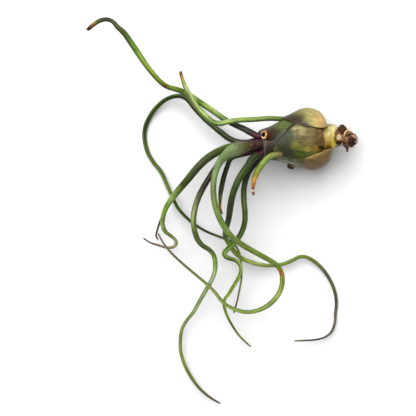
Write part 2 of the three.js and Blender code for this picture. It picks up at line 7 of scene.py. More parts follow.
import bpy
import numpy as np
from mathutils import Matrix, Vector


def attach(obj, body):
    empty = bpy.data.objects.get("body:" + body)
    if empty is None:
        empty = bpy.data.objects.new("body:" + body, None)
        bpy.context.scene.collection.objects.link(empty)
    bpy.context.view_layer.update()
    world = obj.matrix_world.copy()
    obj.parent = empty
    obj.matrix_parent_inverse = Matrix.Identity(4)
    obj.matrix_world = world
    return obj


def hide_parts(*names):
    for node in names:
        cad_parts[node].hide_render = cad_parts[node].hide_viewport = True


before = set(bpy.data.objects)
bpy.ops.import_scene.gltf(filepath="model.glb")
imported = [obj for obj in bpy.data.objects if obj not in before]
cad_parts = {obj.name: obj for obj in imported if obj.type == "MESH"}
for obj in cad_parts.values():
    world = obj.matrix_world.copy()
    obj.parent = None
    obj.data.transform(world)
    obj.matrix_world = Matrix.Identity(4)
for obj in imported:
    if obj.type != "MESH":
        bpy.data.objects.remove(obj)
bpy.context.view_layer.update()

# ---- The camera ----
# It looks straight down on the plant from 0.8 m, with the stem end to the right and the top of the
# picture towards +Y. Its picture takes in a square of table.

MM = 0.001
VIEWPOINT = np.array([-40, -27.2, 800])
TABLE_SEEN = 166.4
SENSOR = 36


def put_in_scene(name, data):
    thing = bpy.data.objects.new(name, data)
    bpy.context.scene.collection.objects.link(thing)
    return thing


camera = put_in_scene("camera", bpy.data.cameras.new("camera"))
camera.data.sensor_width = SENSOR
camera.data.lens = SENSOR * VIEWPOINT[2] / TABLE_SEEN
camera.location = VIEWPOINT * MM
bpy.context.scene.camera = camera

# ---- The stem ----
# A short, fat, waxy stem, cream where the old leaves were pulled off it and yellow-green beneath, with
# painted highlights on its wax and painted shade by the sheaths' feet. It goes into the bulb along the
# bulb's axis, and it snapped off at a ragged end full of brown pith.


def unit(vector):
    return vector / np.linalg.norm(vector)


BULB_BASE = np.array([10.1, 1.0, 10.3])
BULB_NECK = np.array([-19.6, -2.5, 14.3])
ALONG = unit(BULB_NECK - BULB_BASE)
SIDE = unit(np.array([0, 1, 0]) - ALONG * ALONG[1])
UP = np.cross(SIDE, ALONG)

# Rows of (distance along the axis, distance to its side, height above it, radius). The broken end
# turns up.
STEM = [
    (-1.1, -0.6, 0.95, 2.8), (-0.9, -0.6, 0.8, 3.5), (-0.5, -0.5, 0.6, 4.15), (0.3, -0.3, 0.35, 4.65),
    (1.4, 0, 0.2, 4.95), (3, 0.4, 0.1, 5.05), (4.4, 0.5, 0.4, 5.3), (5.2, 0.5, 0.5, 5.5),
    (6, 0.5, 0.2, 5.2), (7.2, 0.5, 0, 4.6), (8.6, 0.5, 0, 3.8), (10.2, 0.5, 0, 2.9), (12.6, 0.5, 0, 1.6),
]
STRAND_STEP = 0.25


def outward(angle):
    """The direction away from the bulb's axis: 0 degrees is towards +Y, 90 is up."""
    turn = math.radians(angle)
    return SIDE * math.cos(turn) + UP * math.sin(turn)


def on_bulb(along, radius, angle):
    return BULB_BASE + ALONG * along + outward(angle) * radius


def smooth(rows, step):
    """A smooth run of rows through a few, a step apart. The first three values are a place.

    The places follow a centripetal curve, and the other values never overshoot the given ones."""
    rows = np.asarray(rows, float)
    rows = np.vstack([2 * rows[0] - rows[1], rows, 2 * rows[-1] - rows[-2]])
    change = np.diff(rows, axis=0)
    reach = np.linalg.norm(change[:, :3], axis=1)
    spans = np.sqrt(np.maximum(reach, 1e-4))[:, None]
    rates = change / spans
    slopes = (rates[:-1] * spans[1:] + rates[1:] * spans[:-1]) / (spans[:-1] + spans[1:])
    same_way = (rates[:-1] * rates[1:] > 0)[:, 3:]
    most = 2 * np.minimum(abs(rates[:-1]), abs(rates[1:]))[:, 3:]
    slopes[:, 3:] = np.where(same_way, np.clip(slopes[:, 3:], -most, most), 0)
    run = []
    for i in range(1, len(rows) - 2):
        count = max(1, math.ceil(reach[i] / step))
        for t in np.arange(count) / count:
            square, cube = t * t, t * t * t
            run.append(
                rows[i]
                + change[i] * (3 * square - 2 * cube)
                + slopes[i - 1] * spans[i] * (cube - 2 * square + t)
                + slopes[i] * spans[i] * (cube - square)
            )
    return np.array(run + [rows[-2]])


def guide_line(name, places, **values):
    """A bare line of points, in metres, that carries a value or a direction at each point."""
    mesh = bpy.data.meshes.new(name)
    mesh.from_pydata(places * MM, [(i, i + 1) for i in range(len(places) - 1)], [])
    for label, numbers in values.items():
        numbers = np.asarray(numbers, np.float32)
        vector = numbers.ndim == 2
        layer = mesh.attributes.new(label, "FLOAT_VECTOR" if vector else "FLOAT", "POINT")
        layer.data.foreach_set("vector" if vector else "value", numbers.ravel())
    return put_in_scene(name, mesh)


class Wire:
    """A node's output. A sum on a wire, of numbers or vectors, adds the node that works it out."""

    def __init__(self, tree, socket):
        self.tree = tree
        self.socket = socket

    def do(self, kind, *others):
        number = self.socket.type in ("VALUE", "INT")
        node = "ShaderNodeMath" if number else "ShaderNodeVectorMath"
        return add(self.tree, node, self, *others, operation=kind)

    def __add__(self, other):
        return self.do("ADD", other)

    def __sub__(self, other):
        return self.do("SUBTRACT", other)

    def __mul__(self, other):
        return self.do("MULTIPLY", other)

    def __truediv__(self, other):
        return self.do("DIVIDE", other)


def add(tree, kind, *inputs, output=0, **settings):
    """Adds a node, and gives back one of its outputs. Each input is a value or a wire.

    A kind of the tree's own family, such as ShaderNode, is written without the family's name."""
    node = tree.nodes.new(kind if "Node" in kind else tree.bl_idname.removesuffix("Tree") + kind)
    for setting, value in settings.items():
        setattr(node, setting, value)
    for socket, value in zip([socket for socket in node.inputs if socket.enabled], inputs):
        if isinstance(value, Wire):
            tree.links.new(value.socket, socket)
        elif value is not None:
            socket.default_value = value
    return Wire(tree, [socket for socket in node.outputs if socket.enabled][output])


def grower(name, **inputs):
    """An empty Geometry Nodes tree with named inputs and one output. Gives the tree and the inputs."""
    tree = bpy.data.node_groups.new(name, "GeometryNodeTree")
    for label, kind in inputs.items():
        tree.interface.new_socket(label, in_out="INPUT", socket_type="NodeSocket" + kind)
    tree.interface.new_socket("Piece", in_out="OUTPUT", socket_type="NodeSocketGeometry")
    sockets = tree.nodes.new("NodeGroupInput").outputs
    return tree, [Wire(tree, sockets[label]) for label in inputs]


def finish_tree(tree, geometry, skin):
    """The end of each tree: real geometry, shaded smooth, with its skin."""
    shaded = add(tree, "SetShadeSmooth", geometry)
    real = add(tree, "RealizeInstances", shaded)
    coated = add(tree, "SetMaterial", real, None, skin)
    tree.links.new(coated.socket, tree.nodes.new("NodeGroupOutput").inputs[0])
    return tree


def grow(name, line, tree, **inputs):
    """Runs a tree on a guide line, and turns what it makes into a plain mesh piece."""
    modifier = line.modifiers.new(name, "NODES")
    modifier.node_group = tree
    for item in tree.interface.items_tree:
        if item.name in inputs:
            modifier[item.identifier] = inputs[item.name]
    grown = line.evaluated_get(bpy.context.evaluated_depsgraph_get())
    piece = put_in_scene(name, bpy.data.meshes.new_from_object(grown))
    bpy.data.objects.remove(line)
    return piece


def settle(piece, node):
    """Says what a finished piece moves with and which solid it stands for, and hides that solid."""
    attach(piece, "root")
    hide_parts(node)


def paint(chart):
    """A skin's colour, from the colour that it has in full light here, 0 to 255 as on a chart."""
    full_light = 2.0
    depth = 1.12
    darkest = 0.002
    shares = np.array(chart) / 255
    linear = np.where(shares > 0.04045, ((shares + 0.055) / 1.055) ** 2.4, shares / 12.92)
    linear = np.maximum(linear.mean() + (linear - linear.mean()) * depth, darkest)
    return (*linear / full_light, 1)


def skin_of(name, roughness, shine):
    """A new material and its tree."""
    skin = bpy.data.materials.new(name)
    skin.use_nodes = True
    shader = skin.node_tree.nodes["Principled BSDF"]
    shader.inputs["Roughness"].default_value = roughness
    shader.inputs["Specular IOR Level"].default_value = shine
    return skin, skin.node_tree


def coat(skin, colour, relief, strength, depth):
    """Gives a skin its colour, and a relief of a strength, and of a depth in millimetres."""
    tree = skin.node_tree
    shader = tree.nodes["Principled BSDF"]
    bump = add(tree, "Bump", strength, depth * MM, None, relief)
    tree.links.new(colour.socket, shader.inputs["Base Color"])
    tree.links.new(bump.socket, shader.inputs["Normal"])
    return skin


def blend(share, *colours):
    """Mixes two colours. Each is a wire, or red, green and blue as on a chart."""
    colours = [colour if isinstance(colour, Wire) else paint(colour) for colour in colours]
    return add(share.tree, "Mix", share, *colours, data_type="RGBA")


def ramp(share, low, high, first=0, last=1):
    """A value that goes smoothly from first to last as share goes from low to high."""
    inputs = (share, low, high, first, last)
    return add(share.tree, "MapRange", *inputs, interpolation_type="SMOOTHSTEP")


def speckle(tree, size, detail=2, stretch=(1, 1, 1), place=None, output=0):
    """Soft noise of a size in millimetres, on the surface or on a place of its own."""
    place = place or add(tree, "TexCoord", output=3)
    spread = place / tuple(np.array(stretch) * MM * size)
    return add(tree, "TexNoise", spread, 1, detail, output=output)


def patched(colour, size, reach, patches):
    """Tints ellipsoids of the surface: (tint, centre, half sizes, softness, strength) for each.

    Noise of a size pushes their edges about as far as reach, so that they are ragged."""
    noise = speckle(colour.tree, size, 3, output=1) - (0.5, 0.5, 0.5)
    place = add(colour.tree, "TexCoord", output=3) + noise * ((reach * MM,) * 3)
    for tint, centre, halves, softness, strength in patches:
        centred = place - tuple(np.array(centre) * MM)
        away = (centred / tuple(np.array(halves) * MM)).do("LENGTH")
        colour = blend(ramp(away, 1 + softness, 1 - softness, 0, strength), colour, tint)
    return colour


def strand_tree():
    """Sweeps a round, lumpy rod along a line that carries its radius, and stands shreds on it."""
    tree, (line, sides, lump_height, lump_size, density, length, seed, skin) = grower(
        "strand", Line="Geometry", Sides="Int", Lump_height="Float", Lump_size="Float",
        Shreds_per_square_metre="Float", Shred_length="Float", Seed="Int", Skin="Material",
    )
    curve = add(tree, "MeshToCurve", line)
    ring = add(tree, "CurvePrimitiveCircle", sides, 1)
    radius = add(tree, "InputNamedAttribute", "radius", data_type="FLOAT")
    rod = add(tree, "CurveToMesh", curve, ring, radius, True)
    place = add(tree, "InputPosition")
    lump = add(tree, "ShaderNodeTexNoise", place / lump_size, 1, 3)
    push = add(tree, "InputNormal") * ((lump - 0.5) * lump_height)
    lumpy = add(tree, "SetPosition", rod, None, None, push)

    # One shred is a curved, tapering ribbon, 1 metre long before it is scaled down.
    arch = (5, (0, 0, -0.1), (0.05, 0, 0.55), (0.5, 0, 0.85))
    spine = add(tree, "CurveQuadraticBezier", *arch)
    section = add(tree, "CurvePrimitiveCircle", 5, 0.15)
    taper = add(tree, "SplineParameter") * -1 + 1.1
    shred = add(tree, "CurveToMesh", spine, section, taper, True)
    points = add(tree, "DistributePointsOnFaces", lumpy, None, density, seed)
    turned = Wire(tree, points.socket.node.outputs["Rotation"])
    size = add(tree, "FunctionNodeRandomValue", 0.4, 1.3, None, 1, data_type="FLOAT") * length
    shreds = add(tree, "InstanceOnPoints", points, None, shred, None, None, turned, size)
    twist = {"data_type": "FLOAT_VECTOR"}
    lean = add(tree, "FunctionNodeRandomValue", (-1, -1, -3), (1, 1, 3), None, 2, **twist)
    shreds = add(tree, "RotateInstances", shreds, None, lean)
    tone = add(tree, "FunctionNodeRandomValue", 0, 1, None, 3, data_type="FLOAT")
    shreds = add(tree, "StoreNamedAttribute", shreds, None, "tone", tone, domain="INSTANCE")
    joined = add(tree, "JoinGeometry", lumpy)
    tree.links.new(shreds.socket, joined.socket.node.inputs[0])
    return finish_tree(tree, joined, skin)


def make_strand(name, node, rows, skin, sides=24, lump=(0.8, 2), shreds=0, length=1.5, seed=1):
    """A rod through rows of (x, y, z, radius), with lumps of (height, size).

    Shreds are so many on each square millimetre, and of a length."""
    rows = smooth(rows, STRAND_STEP)
    line = guide_line(name + "_line", rows[:, :3], radius=rows[:, 3] * MM)
    strand = grow(
        name, line, strand_grower, Sides=sides, Lump_height=lump[0] * MM, Lump_size=lump[1] * MM,
        Shreds_per_square_metre=shreds / MM**2, Shred_length=length * MM, Seed=seed, Skin=skin,
    )
    settle(strand, node)


def stem_skin():
    skin, tree = skin_of("waxy stem", roughness=0.34, shine=0.35)
    colour = blend(speckle(tree, 2.4), (196, 174, 88), (230, 212, 136))
    colour = patched(colour, 2, 1.6, [
        # Tan-brown band by the sheaths' feet: the stem's tan, partly painted shade cast by their edges.
        ((190, 142, 84), (4.6, 1, 16), (1.5, 9, 9), 0.35, 0.85),
        ((150, 124, 52), (8, 6, 13), (3.6, 1, 5), 0.5, 0.85),
        # Pale cream patch: partly a painted highlight on the wax.
        ((232, 226, 172), (9.4, 4, 14), (1.6, 1.2, 5), 0.5, 0.8),
        ((186, 136, 34), (7.2, -2.4, 13), (2.4, 1.8, 4), 0.6, 0.85),
        # Near-white spot: a painted highlight on the wax.
        ((255, 250, 220), (7.3, 1.8, 16), (0.5, 0.9, 4), 0.7, 0.7),
        ((244, 226, 76), (9.2, -2.2, 13), (1, 1.6, 5), 0.5, 0.9),
        ((250, 226, 150), (5.7, -3.4, 14), (0.5, 0.7, 6), 0.5, 0.85),
        ((104, 90, 20), (11.6, -2.6, 9), (1.9, 1.5, 5), 0.5, 0.95),
    ])
    fibres = ramp(speckle(tree, 0.35, 3, (5, 1, 1)), 0.5, 0.7, 0, 0.3)
    colour = blend(fibres, colour, (112, 84, 30))
    return coat(skin, colour, speckle(tree, 1, 4), strength=0.5, depth=0.25)


strand_grower = strand_tree()
make_strand(
    "stem_rod", "stem",
    [(*on_bulb(along, aside, 0) + UP * rise, radius) for along, aside, rise, radius in STEM],
    stem_skin(), sides=64, lump=(0.6, 3.2),
)

# ---- The low, cut leaf ----
# The oldest leaf's sheath, the bulb's lower right side, which the plant lies on. It is leathery,
# tan going brown, and it ends in a small dried-up nub where its blade was cut off.

SHEET = 0.9  # a sheath's thickness


def leaf_rows(back, sheath, thickness=SHEET, bulge=(0, 0)):
    """A sheath's back, row by row: place, outward, across, curl radius, margins, thickness, flatness.

    It comes from rows of (distance along the axis, outer radius, angles of the two margins). A bulge
    is the angle at which the sheath's own axis lies off the bulb's, and how far off."""
    bulge_angle, bulge_reach = bulge
    rows = []
    for along, radius, first, last in sheath:
        curl = radius - bulge_reach - thickness / 2
        centre = on_bulb(along, bulge_reach, bulge_angle)
        margins = [curl * math.radians(angle - back) for angle in (first, last)]
        place = centre + outward(back) * curl
        rows.append((*place, *outward(back), *outward(back + 90), curl, *margins, thickness, 1))
    return rows


def tangents(places):
    """The way that a route goes, at each of its places."""
    last = len(places) - 1
    return [unit(places[min(i + 1, last)] - places[max(i - 1, 0)]) for i in range(last + 1)]


def square_to(tangent, facing):
    """The direction nearest to facing that is square to a tangent."""
    return unit(facing - tangent * np.dot(facing, tangent))


def blade_rows(back, start, blade):
    """A blade's rows, of the same kind. Its curl keeps to the side that faces the bulb's axis.

    It starts at (distance along the axis, radius, angle, width), and goes on through rows of
    (x, y, height, width), where x and y are what the camera sees on the table. A fifth value is
    the depth of a flattened stretch."""
    wraps = math.radians(152)
    wall_share = 0.62
    centres = [on_bulb(along, radius, angle) for along, radius, angle, _ in start]
    sizes = [(width, width) for *_, width in start]
    for x, y, height, width, *deep in blade:
        seen = np.array([x, y, 0.0])
        centres.append(seen + (VIEWPOINT - seen) * height / VIEWPOINT[2])
        sizes.append((width, *(deep or [width])))
    out = outward(back)
    rows = []
    for centre, tangent, (width, deep) in zip(centres, tangents(centres), sizes):
        out = square_to(tangent, out)
        wall = wall_share * width / 2
        curl = width / 2 - wall / 2
        flat = deep / width
        margin = curl * wraps
        across = np.cross(out, tangent)
        rows.append((*centre + out * curl * flat, *out, *across, curl, -margin, margin, wall, flat))
    return rows


def lengths_along(places):
    """How far along a route each of its places is."""
    steps = np.linalg.norm(np.diff(places, axis=0), axis=1)
    return np.concatenate([[0], np.cumsum(steps)])


def leaf_line(name, rows, step, foot, tip, closed):
    """The line up a leaf's back, with all that the rolled leaf needs at each point of it.

    It comes with its length, and with how far up it each row is. The sheet thins to nothing over its
    last stretch at the foot and at the tip, and it also closes up there, at the ends named closed."""
    run = smooth(rows, step)
    places = run[:, :3]
    out = run[:, 3:6] / np.linalg.norm(run[:, 3:6], axis=1)[:, None]
    across = run[:, 6:9] - out * (run[:, 6:9] * out).sum(axis=1)[:, None]
    across /= np.linalg.norm(across, axis=1)[:, None]
    curl, first, last, thickness, flat = run[:, 9:].T
    far = lengths_along(places)
    for end, left in (("foot", far / foot), ("tip", (far[-1] - far) / tip)):
        closing = np.sqrt(1 - (1 - np.clip(left, 0, 1)) ** 2)
        thickness = thickness * closing
        if end in closed:
            curl, first, last = (value * closing for value in (curl, first, last))
    line = guide_line(
        name, places, out=out, across=across, curl=np.maximum(curl, 1e-4) * MM, first=first * MM,
        last=last * MM, thickness=thickness * MM, flat=flat, far=far * MM, part=far / far[-1],
    )
    marks = [far[np.argmin(np.linalg.norm(places - row[:3], axis=1))] for row in rows]
    return line, far[-1], np.array(marks)


def rolled_leaf_tree():
    """Rolls one closed sheet round a leaf's line: shallow where it is a sheath, tight in a blade."""
    tree, (line, points, wave_height, wave_size, skin) = grower(
        "rolled leaf", Line="Geometry", Points_round="Int", Wave_height="Float", Wave_size="Float",
        Skin="Material",
    )
    columns = points + 1
    rows = add(tree, "AttributeDomainSize", line)
    grid = add(tree, "MeshGrid", 1, 1, rows, columns)
    index = add(tree, "InputIndex")
    row = ((index + 0.5) / columns).do("FLOOR")
    column = index - row * columns

    def there(label, kind="FLOAT"):
        value = add(tree, "InputNamedAttribute", label, data_type=kind)
        return add(tree, "SampleIndex", line, value, row, data_type=kind)

    # Round the sheet's section: out along its back and home along its inside, thin at both margins.
    blunt = 0.4
    turn = column / points * math.tau
    width = turn.do("COSINE") * -1
    rise = turn.do("SINE")
    face = rise.do("SIGN")
    depth = face * rise.do("ABSOLUTE").do("POWER", blunt) * 0.5
    first, last, far = there("first"), there("last"), there("far")
    reach = first + (last - first) * ((width + 1) * 0.5)
    lay = add(tree, "ShaderNodeCombineXYZ", reach, far, 0)

    # The sheet's curl, with low waves in it that die out as the curl gets tight.
    loose = 6 * MM
    curl = there("curl")
    wave = add(tree, "ShaderNodeTexNoise", lay / wave_size, 1, 1) - 0.5
    swell = wave * (curl / loose).do("MINIMUM", 1) * wave_height
    radius = curl + (depth * there("thickness") + swell)
    angle = reach / curl
    sideways = radius * angle.do("SINE")
    lift = (radius * angle.do("COSINE") - curl) * there("flat")
    position = add(tree, "InputPosition")
    place = add(tree, "SampleIndex", line, position, row, data_type="FLOAT_VECTOR")
    place = place + there("across", "FLOAT_VECTOR") * sideways
    place = place + there("out", "FLOAT_VECTOR") * lift

    # What the skin reads: how far up the leaf, how far across it, which face, and the sheet laid flat.
    for label, value in (("part", there("part")), ("width", width), ("face", face)):
        grid = add(tree, "StoreNamedAttribute", grid, None, label, value)
    laid = {"data_type": "FLOAT_VECTOR"}
    grid = add(tree, "StoreNamedAttribute", grid, None, "lay", lay, **laid)
    rolled = add(tree, "SetPosition", grid, None, place)
    weld = 1e-6
    closed = add(tree, "MergeByDistance", rolled, None, weld)
    return finish_tree(tree, closed, skin)


def colour_run(far, stops):
    """A colour that changes with a distance, through stops of (distance, red, green, blue)."""
    low, high = stops[0][0], stops[-1][0]
    share = add(far.tree, "MapRange", far, low, high)
    band = far.tree.nodes.new("ShaderNodeValToRGB")
    spots = band.color_ramp.elements
    while len(spots) < len(stops):
        spots.new(1)
    for spot, (distance, *chart) in zip(spots, stops):
        spot.position = (distance - low) / (high - low)
        spot.color = paint(chart)
    far.tree.links.new(share.socket, band.inputs[0])
    return Wire(far.tree, band.outputs[0])


MAROON = (68, 24, 38)
# A dark green for the blotches, and for the painted shade on the blades' edges.
BLOTCH_AND_SHADE_GREEN = (34, 44, 18)
VEIN_GREEN = (26, 34, 14)
SCALE_GREY = (190, 190, 160)


def leaf_skin(name, length, zero, stops, patches, inner=None, margin=(BLOTCH_AND_SHADE_GREEN, 0.5, 0.25, 0.6),
              base=None, lines=0.45, mottle=0.3, scurf=0, streaks=()):
    """A leaf's skin. Distances up the leaf are in millimetres, and some are below zero.

    stops: (distance, red, green, blue) all the way up. inner: the colour of its inside. margin:
    (tint, the share of the half width where it starts, how soon it is full, strength). base: (where
    the maroon ends in the middle of the back, the slope of that end). lines, mottle, scurf: the
    strengths of the dark veins, the blotches and the pale scales. streaks: (tint, middle and half
    width as shares of the half width, first and last distance, strength). patches: as in patched()."""
    # Along each leaf the stops carry some painted light and shade with the leaf's own colour: paler where
    # it is lit, darker where it is shaded.
    skin, tree = skin_of(name, roughness=0.42, shine=0.14)

    def carried(label, output=2):
        return add(tree, "Attribute", output=output, attribute_name=label)

    far = carried("part") * length - zero
    lay, width, face = carried("lay", 1), carried("width"), carried("face")
    wander = speckle(tree, 2.5) - 0.5
    colour = patched(colour_run(wander * 3 + far, stops), 1.6, 1.4, patches)
    for tint, middle, half, start, end, strength in streaks:
        aside = (width - middle).do("ABSOLUTE") + wander * 0.2
        share = ramp(aside, half * 1.4, half * 0.6, 0, strength)
        share = share * ramp(far, start, start + 3) * ramp(far, end, end - 3)
        colour = blend(share, colour, tint)
    # On the blades, the dark green margin darkens both edges: partly their darker rolled margins, partly
    # painted shade on their flanks.
    if margin:
        tint, start, spread, strength = margin
        edge = width.do("ABSOLUTE") + wander * 0.2
        colour = blend(ramp(edge, start, start + spread, 0, strength), colour, tint)
    if base:
        end, slope = base
        aside = add(tree, "SeparateXYZ", lay).do("ABSOLUTE")
        edge = aside * (-slope / MM) + far + wander * 2
        colour = blend(ramp(edge, end + 0.6, end - 0.6), colour, MAROON)
    if inner:
        colour = blend(ramp(face, 0.2, -0.2), colour, inner)
    blotches = speckle(tree, 1.3, 4, (1, 3, 1), lay)
    colour = blend(ramp(blotches, 0.44, 0.62, 0, mottle), colour, BLOTCH_AND_SHADE_GREEN)
    veins = speckle(tree, 0.42, 3, (1, 22, 1), lay)
    colour = blend(ramp(veins, 0.5, 0.68, 0, lines), colour, VEIN_GREEN)
    scales = speckle(tree, 0.5, 4)
    colour = blend(ramp(scales, 0.45, 0.7, 0, scurf), colour, SCALE_GREY)
    return coat(skin, colour, speckle(tree, 0.3) * 0.6 + veins, strength=0.4, depth=0.07)


def blade_stops(stops, route, marks, tone):
    """Turns stops that are measured along a blade's route, row by row, into ones up its smooth leaf.

    The leaf passes the rows at the marks. Tone is what the blade's colours are multiplied by."""
    beyond = 100
    written, up = ([-beyond, *run, run[-1] + beyond] for run in (lengths_along(route), marks))
    moved = []
    for distance, *chart in stops:
        if distance >= 0:
            chart = np.minimum(np.array(chart) * tone, 255)
        moved.append((np.interp(distance, written, up), *chart))
    return moved


def make_leaf(node, slot, rows, stops, patches=(), blade=(), tone=(1, 1, 1), part="rolled",
              points=48, step=0.8, foot=0.8, tip=1.2, closed=("tip",), waves=0.5, **finish):
    """Makes a leaf, or a part of one, from its rows, with its skin, in place of its solid.

    Points go round the sheet's section, at every step up it. Where the rows end in a blade's,
    distances up the leaf start from the blade's first row."""
    name = f"{node}_{part}"
    line, length, marks = leaf_line(name + "_line", rows, step, foot, tip, closed)
    start = marks[-len(blade)]
    if blade:
        route = [row[:3] for row in blade]
        stops = blade_stops(stops, route, marks[-len(blade):] - start, tone)
    leaf = grow(
        name, line, leaf_grower, Points_round=points, Wave_height=waves * MM, Wave_size=6 * MM,
        Skin=leaf_skin(name + "_skin", length, start, stops, patches, **finish),
    )
    settle(leaf, node)


leaf_grower = rolled_leaf_tree()

LOW_CUT_SHEATH = [
    (2.2, 5.5, 136, 300), (2.7, 7.6, 126, 300), (3.5, 9.5, 119, 300), (5, 10.8, 116, 300),
    (7, 11.7, 116, 300), (10, 12.2, 120, 300), (12.4, 11.8, 126, 296), (14.4, 11.1, 132, 285),
    (16.4, 10.6, 150, 262), (17.8, 10.3, 178, 234), (19, 10.2, 194, 214),
]

make_leaf("leaf_low_cut", "sheath_tan", leaf_rows(205, LOW_CUT_SHEATH, bulge=(210, 0.3)), [
    (0, 170, 138, 92), (6, 150, 116, 72), (12, 136, 106, 66), (17, 126, 104, 78), (22, 84, 62, 46),
], [
    ((92, 70, 38), (3.2, -9.6, 12), (2, 1.6, 5), 0.7, 0.8),
    ((192, 168, 142), (-3.2, -10.8, 10), (4.2, 2, 5), 0.6, 0.85),
    ((96, 72, 42), (-1.2, -8.4, 14), (2, 1.2, 5), 0.6, 0.7),
    ((204, 170, 124), (7, -6.2, 10), (1.6, 2.8, 6), 0.6, 0.8),
], points=96, step=0.5, inner=(120, 98, 60), margin=((182, 150, 96), 0.93, 0.05, 0.8), scurf=0.15)


def dry_skin(name, dark, pale, cracks=0.8, patches=()):
    """Dried, fibrous stuff: streaky, rough, and each shred in a tone of its own."""
    skin, tree = skin_of(name, roughness=0.75, shine=0.2)
    tone = add(tree, "Attribute", output=2, attribute_name="tone")
    streak = ramp(speckle(tree, 0.5, 4, (1, 1, 2.5)), 0.35, 0.7)
    colour = patched(blend(tone * 0.7 + streak * 0.5, dark, pale), 0.8, 0.6, patches)
    cracked = ramp(speckle(tree, 0.55, 4), 0.5, 0.4, 0, cracks)
    colour = blend(cracked, colour, (30, 16, 8))
    return coat(skin, colour, speckle(tree, 0.5, 4, (1, 1, 2)), strength=0.8, depth=0.3)


LOW_CUT_NUB = [
    (-5.9, -10.7, 7.9, 0.5), (-6.5, -10.9, 8, 0.8), (-7.4, -10.8, 8.2, 0.9), (-8.3, -10.6, 8.5, 0.6),
]

make_strand(
    "leaf_low_cut_nub", "leaf_low_cut", LOW_CUT_NUB,
    dry_skin("dried leaf end", (44, 26, 16), (120, 84, 54)), lump=(1, 0.9), shreds=3, length=0.7, seed=4,
)

# ---- The top leaf, with the hooked blade ----
# Its sheath is the bulb's upper side in the picture, swollen and tan with a painted highlight on its
# swollen end, olive towards the neck and maroon along its lower margin. Its blade runs along the bulb,
# then turns up to a thin yellow tip.

TOP_HOOK_SHEATH = [
    (2.9, 5.2, -52, 50), (3.2, 6.4, -56, 56), (3.9, 8.6, -58, 65), (5.2, 10.6, -59, 73),
    (8.8, 12.4, -59, 74), (12, 12.6, -59, 70), (15.2, 11.5, -48, 62), (18, 10.5, -25, 44),
    (20.5, 9.9, -9, 14),
]
TOP_HOOK_START = [(17.5, 9.2, 2, 2), (20, 9.1, 2, 2.2)]
TOP_HOOK_BLADE = [
    (-15.2, 8.5, 15.2, 2.4), (-21.2, 8.1, 16.2, 2.4), (-27.2, 7.8, 17, 2.45), (-32.2, 7.1, 17.5, 2.4),
    (-35.2, 6.4, 17.6, 2.4), (-38, 7, 17.4, 2.4), (-41, 9.5, 17.2, 2.4), (-44.4, 13.1, 17.2, 2.3),
    (-47.2, 17.6, 17.8, 2.2), (-49.6, 22.1, 19, 1.95), (-51.3, 27.8, 21, 1.3),
]

make_leaf("leaf_top_hook", "leaf_tan_olive", leaf_rows(2, TOP_HOOK_SHEATH, bulge=(2, 1.2)), [
    (0, 206, 172, 112), (6, 204, 178, 116), (12, 180, 166, 108), (15, 130, 126, 76), (18, 84, 82, 46),
    (24, 62, 60, 36),
], [
    ((80, 70, 42), (-6.2, 8.2, 18), (4, 3.6, 9), 0.5, 0.85),
    ((44, 26, 22), (-6.8, 6.6, 18), (3.8, 2.6, 9), 0.4, 0.9),
    ((52, 18, 24), (-4.8, 4.9, 20), (5, 1.3, 8), 0.4, 0.95),
    # Light cream-tan patch on the swollen end: the sheath's tan, with a painted highlight on it.
    ((226, 192, 128), (3.6, 7.4, 18), (2.4, 2, 8), 0.6, 0.7),
    ((214, 170, 112), (3.6, 5, 20), (1.7, 0.6, 8), 0.6, 0.7),
    ((150, 150, 92), (-2.4, 10.6, 15), (4, 1.4, 6), 0.7, 0.5),
], part="sheath", points=96, step=0.5, closed=(), margin=None, inner=(84, 70, 40), scurf=0.08, lines=0.12)
make_leaf("leaf_top_hook", "leaf_tan_olive", blade_rows(2, TOP_HOOK_START, TOP_HOOK_BLADE), [
    (-10, 84, 96, 50), (0, 112, 134, 74), (12, 136, 160, 80), (18, 154, 176, 100), (23, 102, 124, 54),
    (27, 160, 184, 106), (32, 156, 178, 98), (40, 184, 200, 128), (44.5, 186, 196, 112),
    (45.9, 236, 194, 104), (47, 222, 164, 92), (47.8, 130, 66, 56), (49.1, 96, 40, 40),
], blade=TOP_HOOK_BLADE, tone=(1.07, 1.07, 1.12), part="blade")

# ---- The short leaf, going yellow ----
# Its sheath is the olive front of the bulb, with fine lines up it, a khaki bulge at the stem end, a
# painted highlight on its upper left, a painted shadow in the hollow at its foot and a maroon margin,
# darkened with painted shade where it overlaps the collar leaf. Its stubby blade has gone from green to
# yellow and brown, with a dry tip.

THIN_SHEET = 0.8
YELLOW_SHEATH = [
    (4.4, 5, 66, 170), (5.2, 5.2, 60, 178), (5.8, 6.4, 56, 186), (6.8, 8.4, 48, 192),
    (8.2, 10, 45, 193), (10, 10.7, 44, 193), (12.8, 10.8, 42, 193), (14.6, 10.7, 42, 186),
    (16.4, 10.6, 44, 171), (19, 10.1, 53, 156), (21, 9.7, 64, 150), (22.8, 9.1, 75, 145),
    (24.4, 8.6, 85, 140), (25.6, 8.1, 94, 136), (26.4, 7.8, 102, 130),
]
YELLOW_START = [(22.7, 9.4, 118, 2.3)]
YELLOW_BLADE = [
    (-14.4, -6.2, 21.3, 2.4), (-17.2, -8.4, 21.2, 2.5), (-19.6, -11.4, 20.2, 2.6),
    (-21.2, -14.8, 18.6, 2.3), (-21.9, -18.4, 17, 1.5), (-22, -20, 16.4, 1.1), (-21.9, -21, 16, 1.2),
    (-21.8, -22.2, 15.4, 0.7),
]

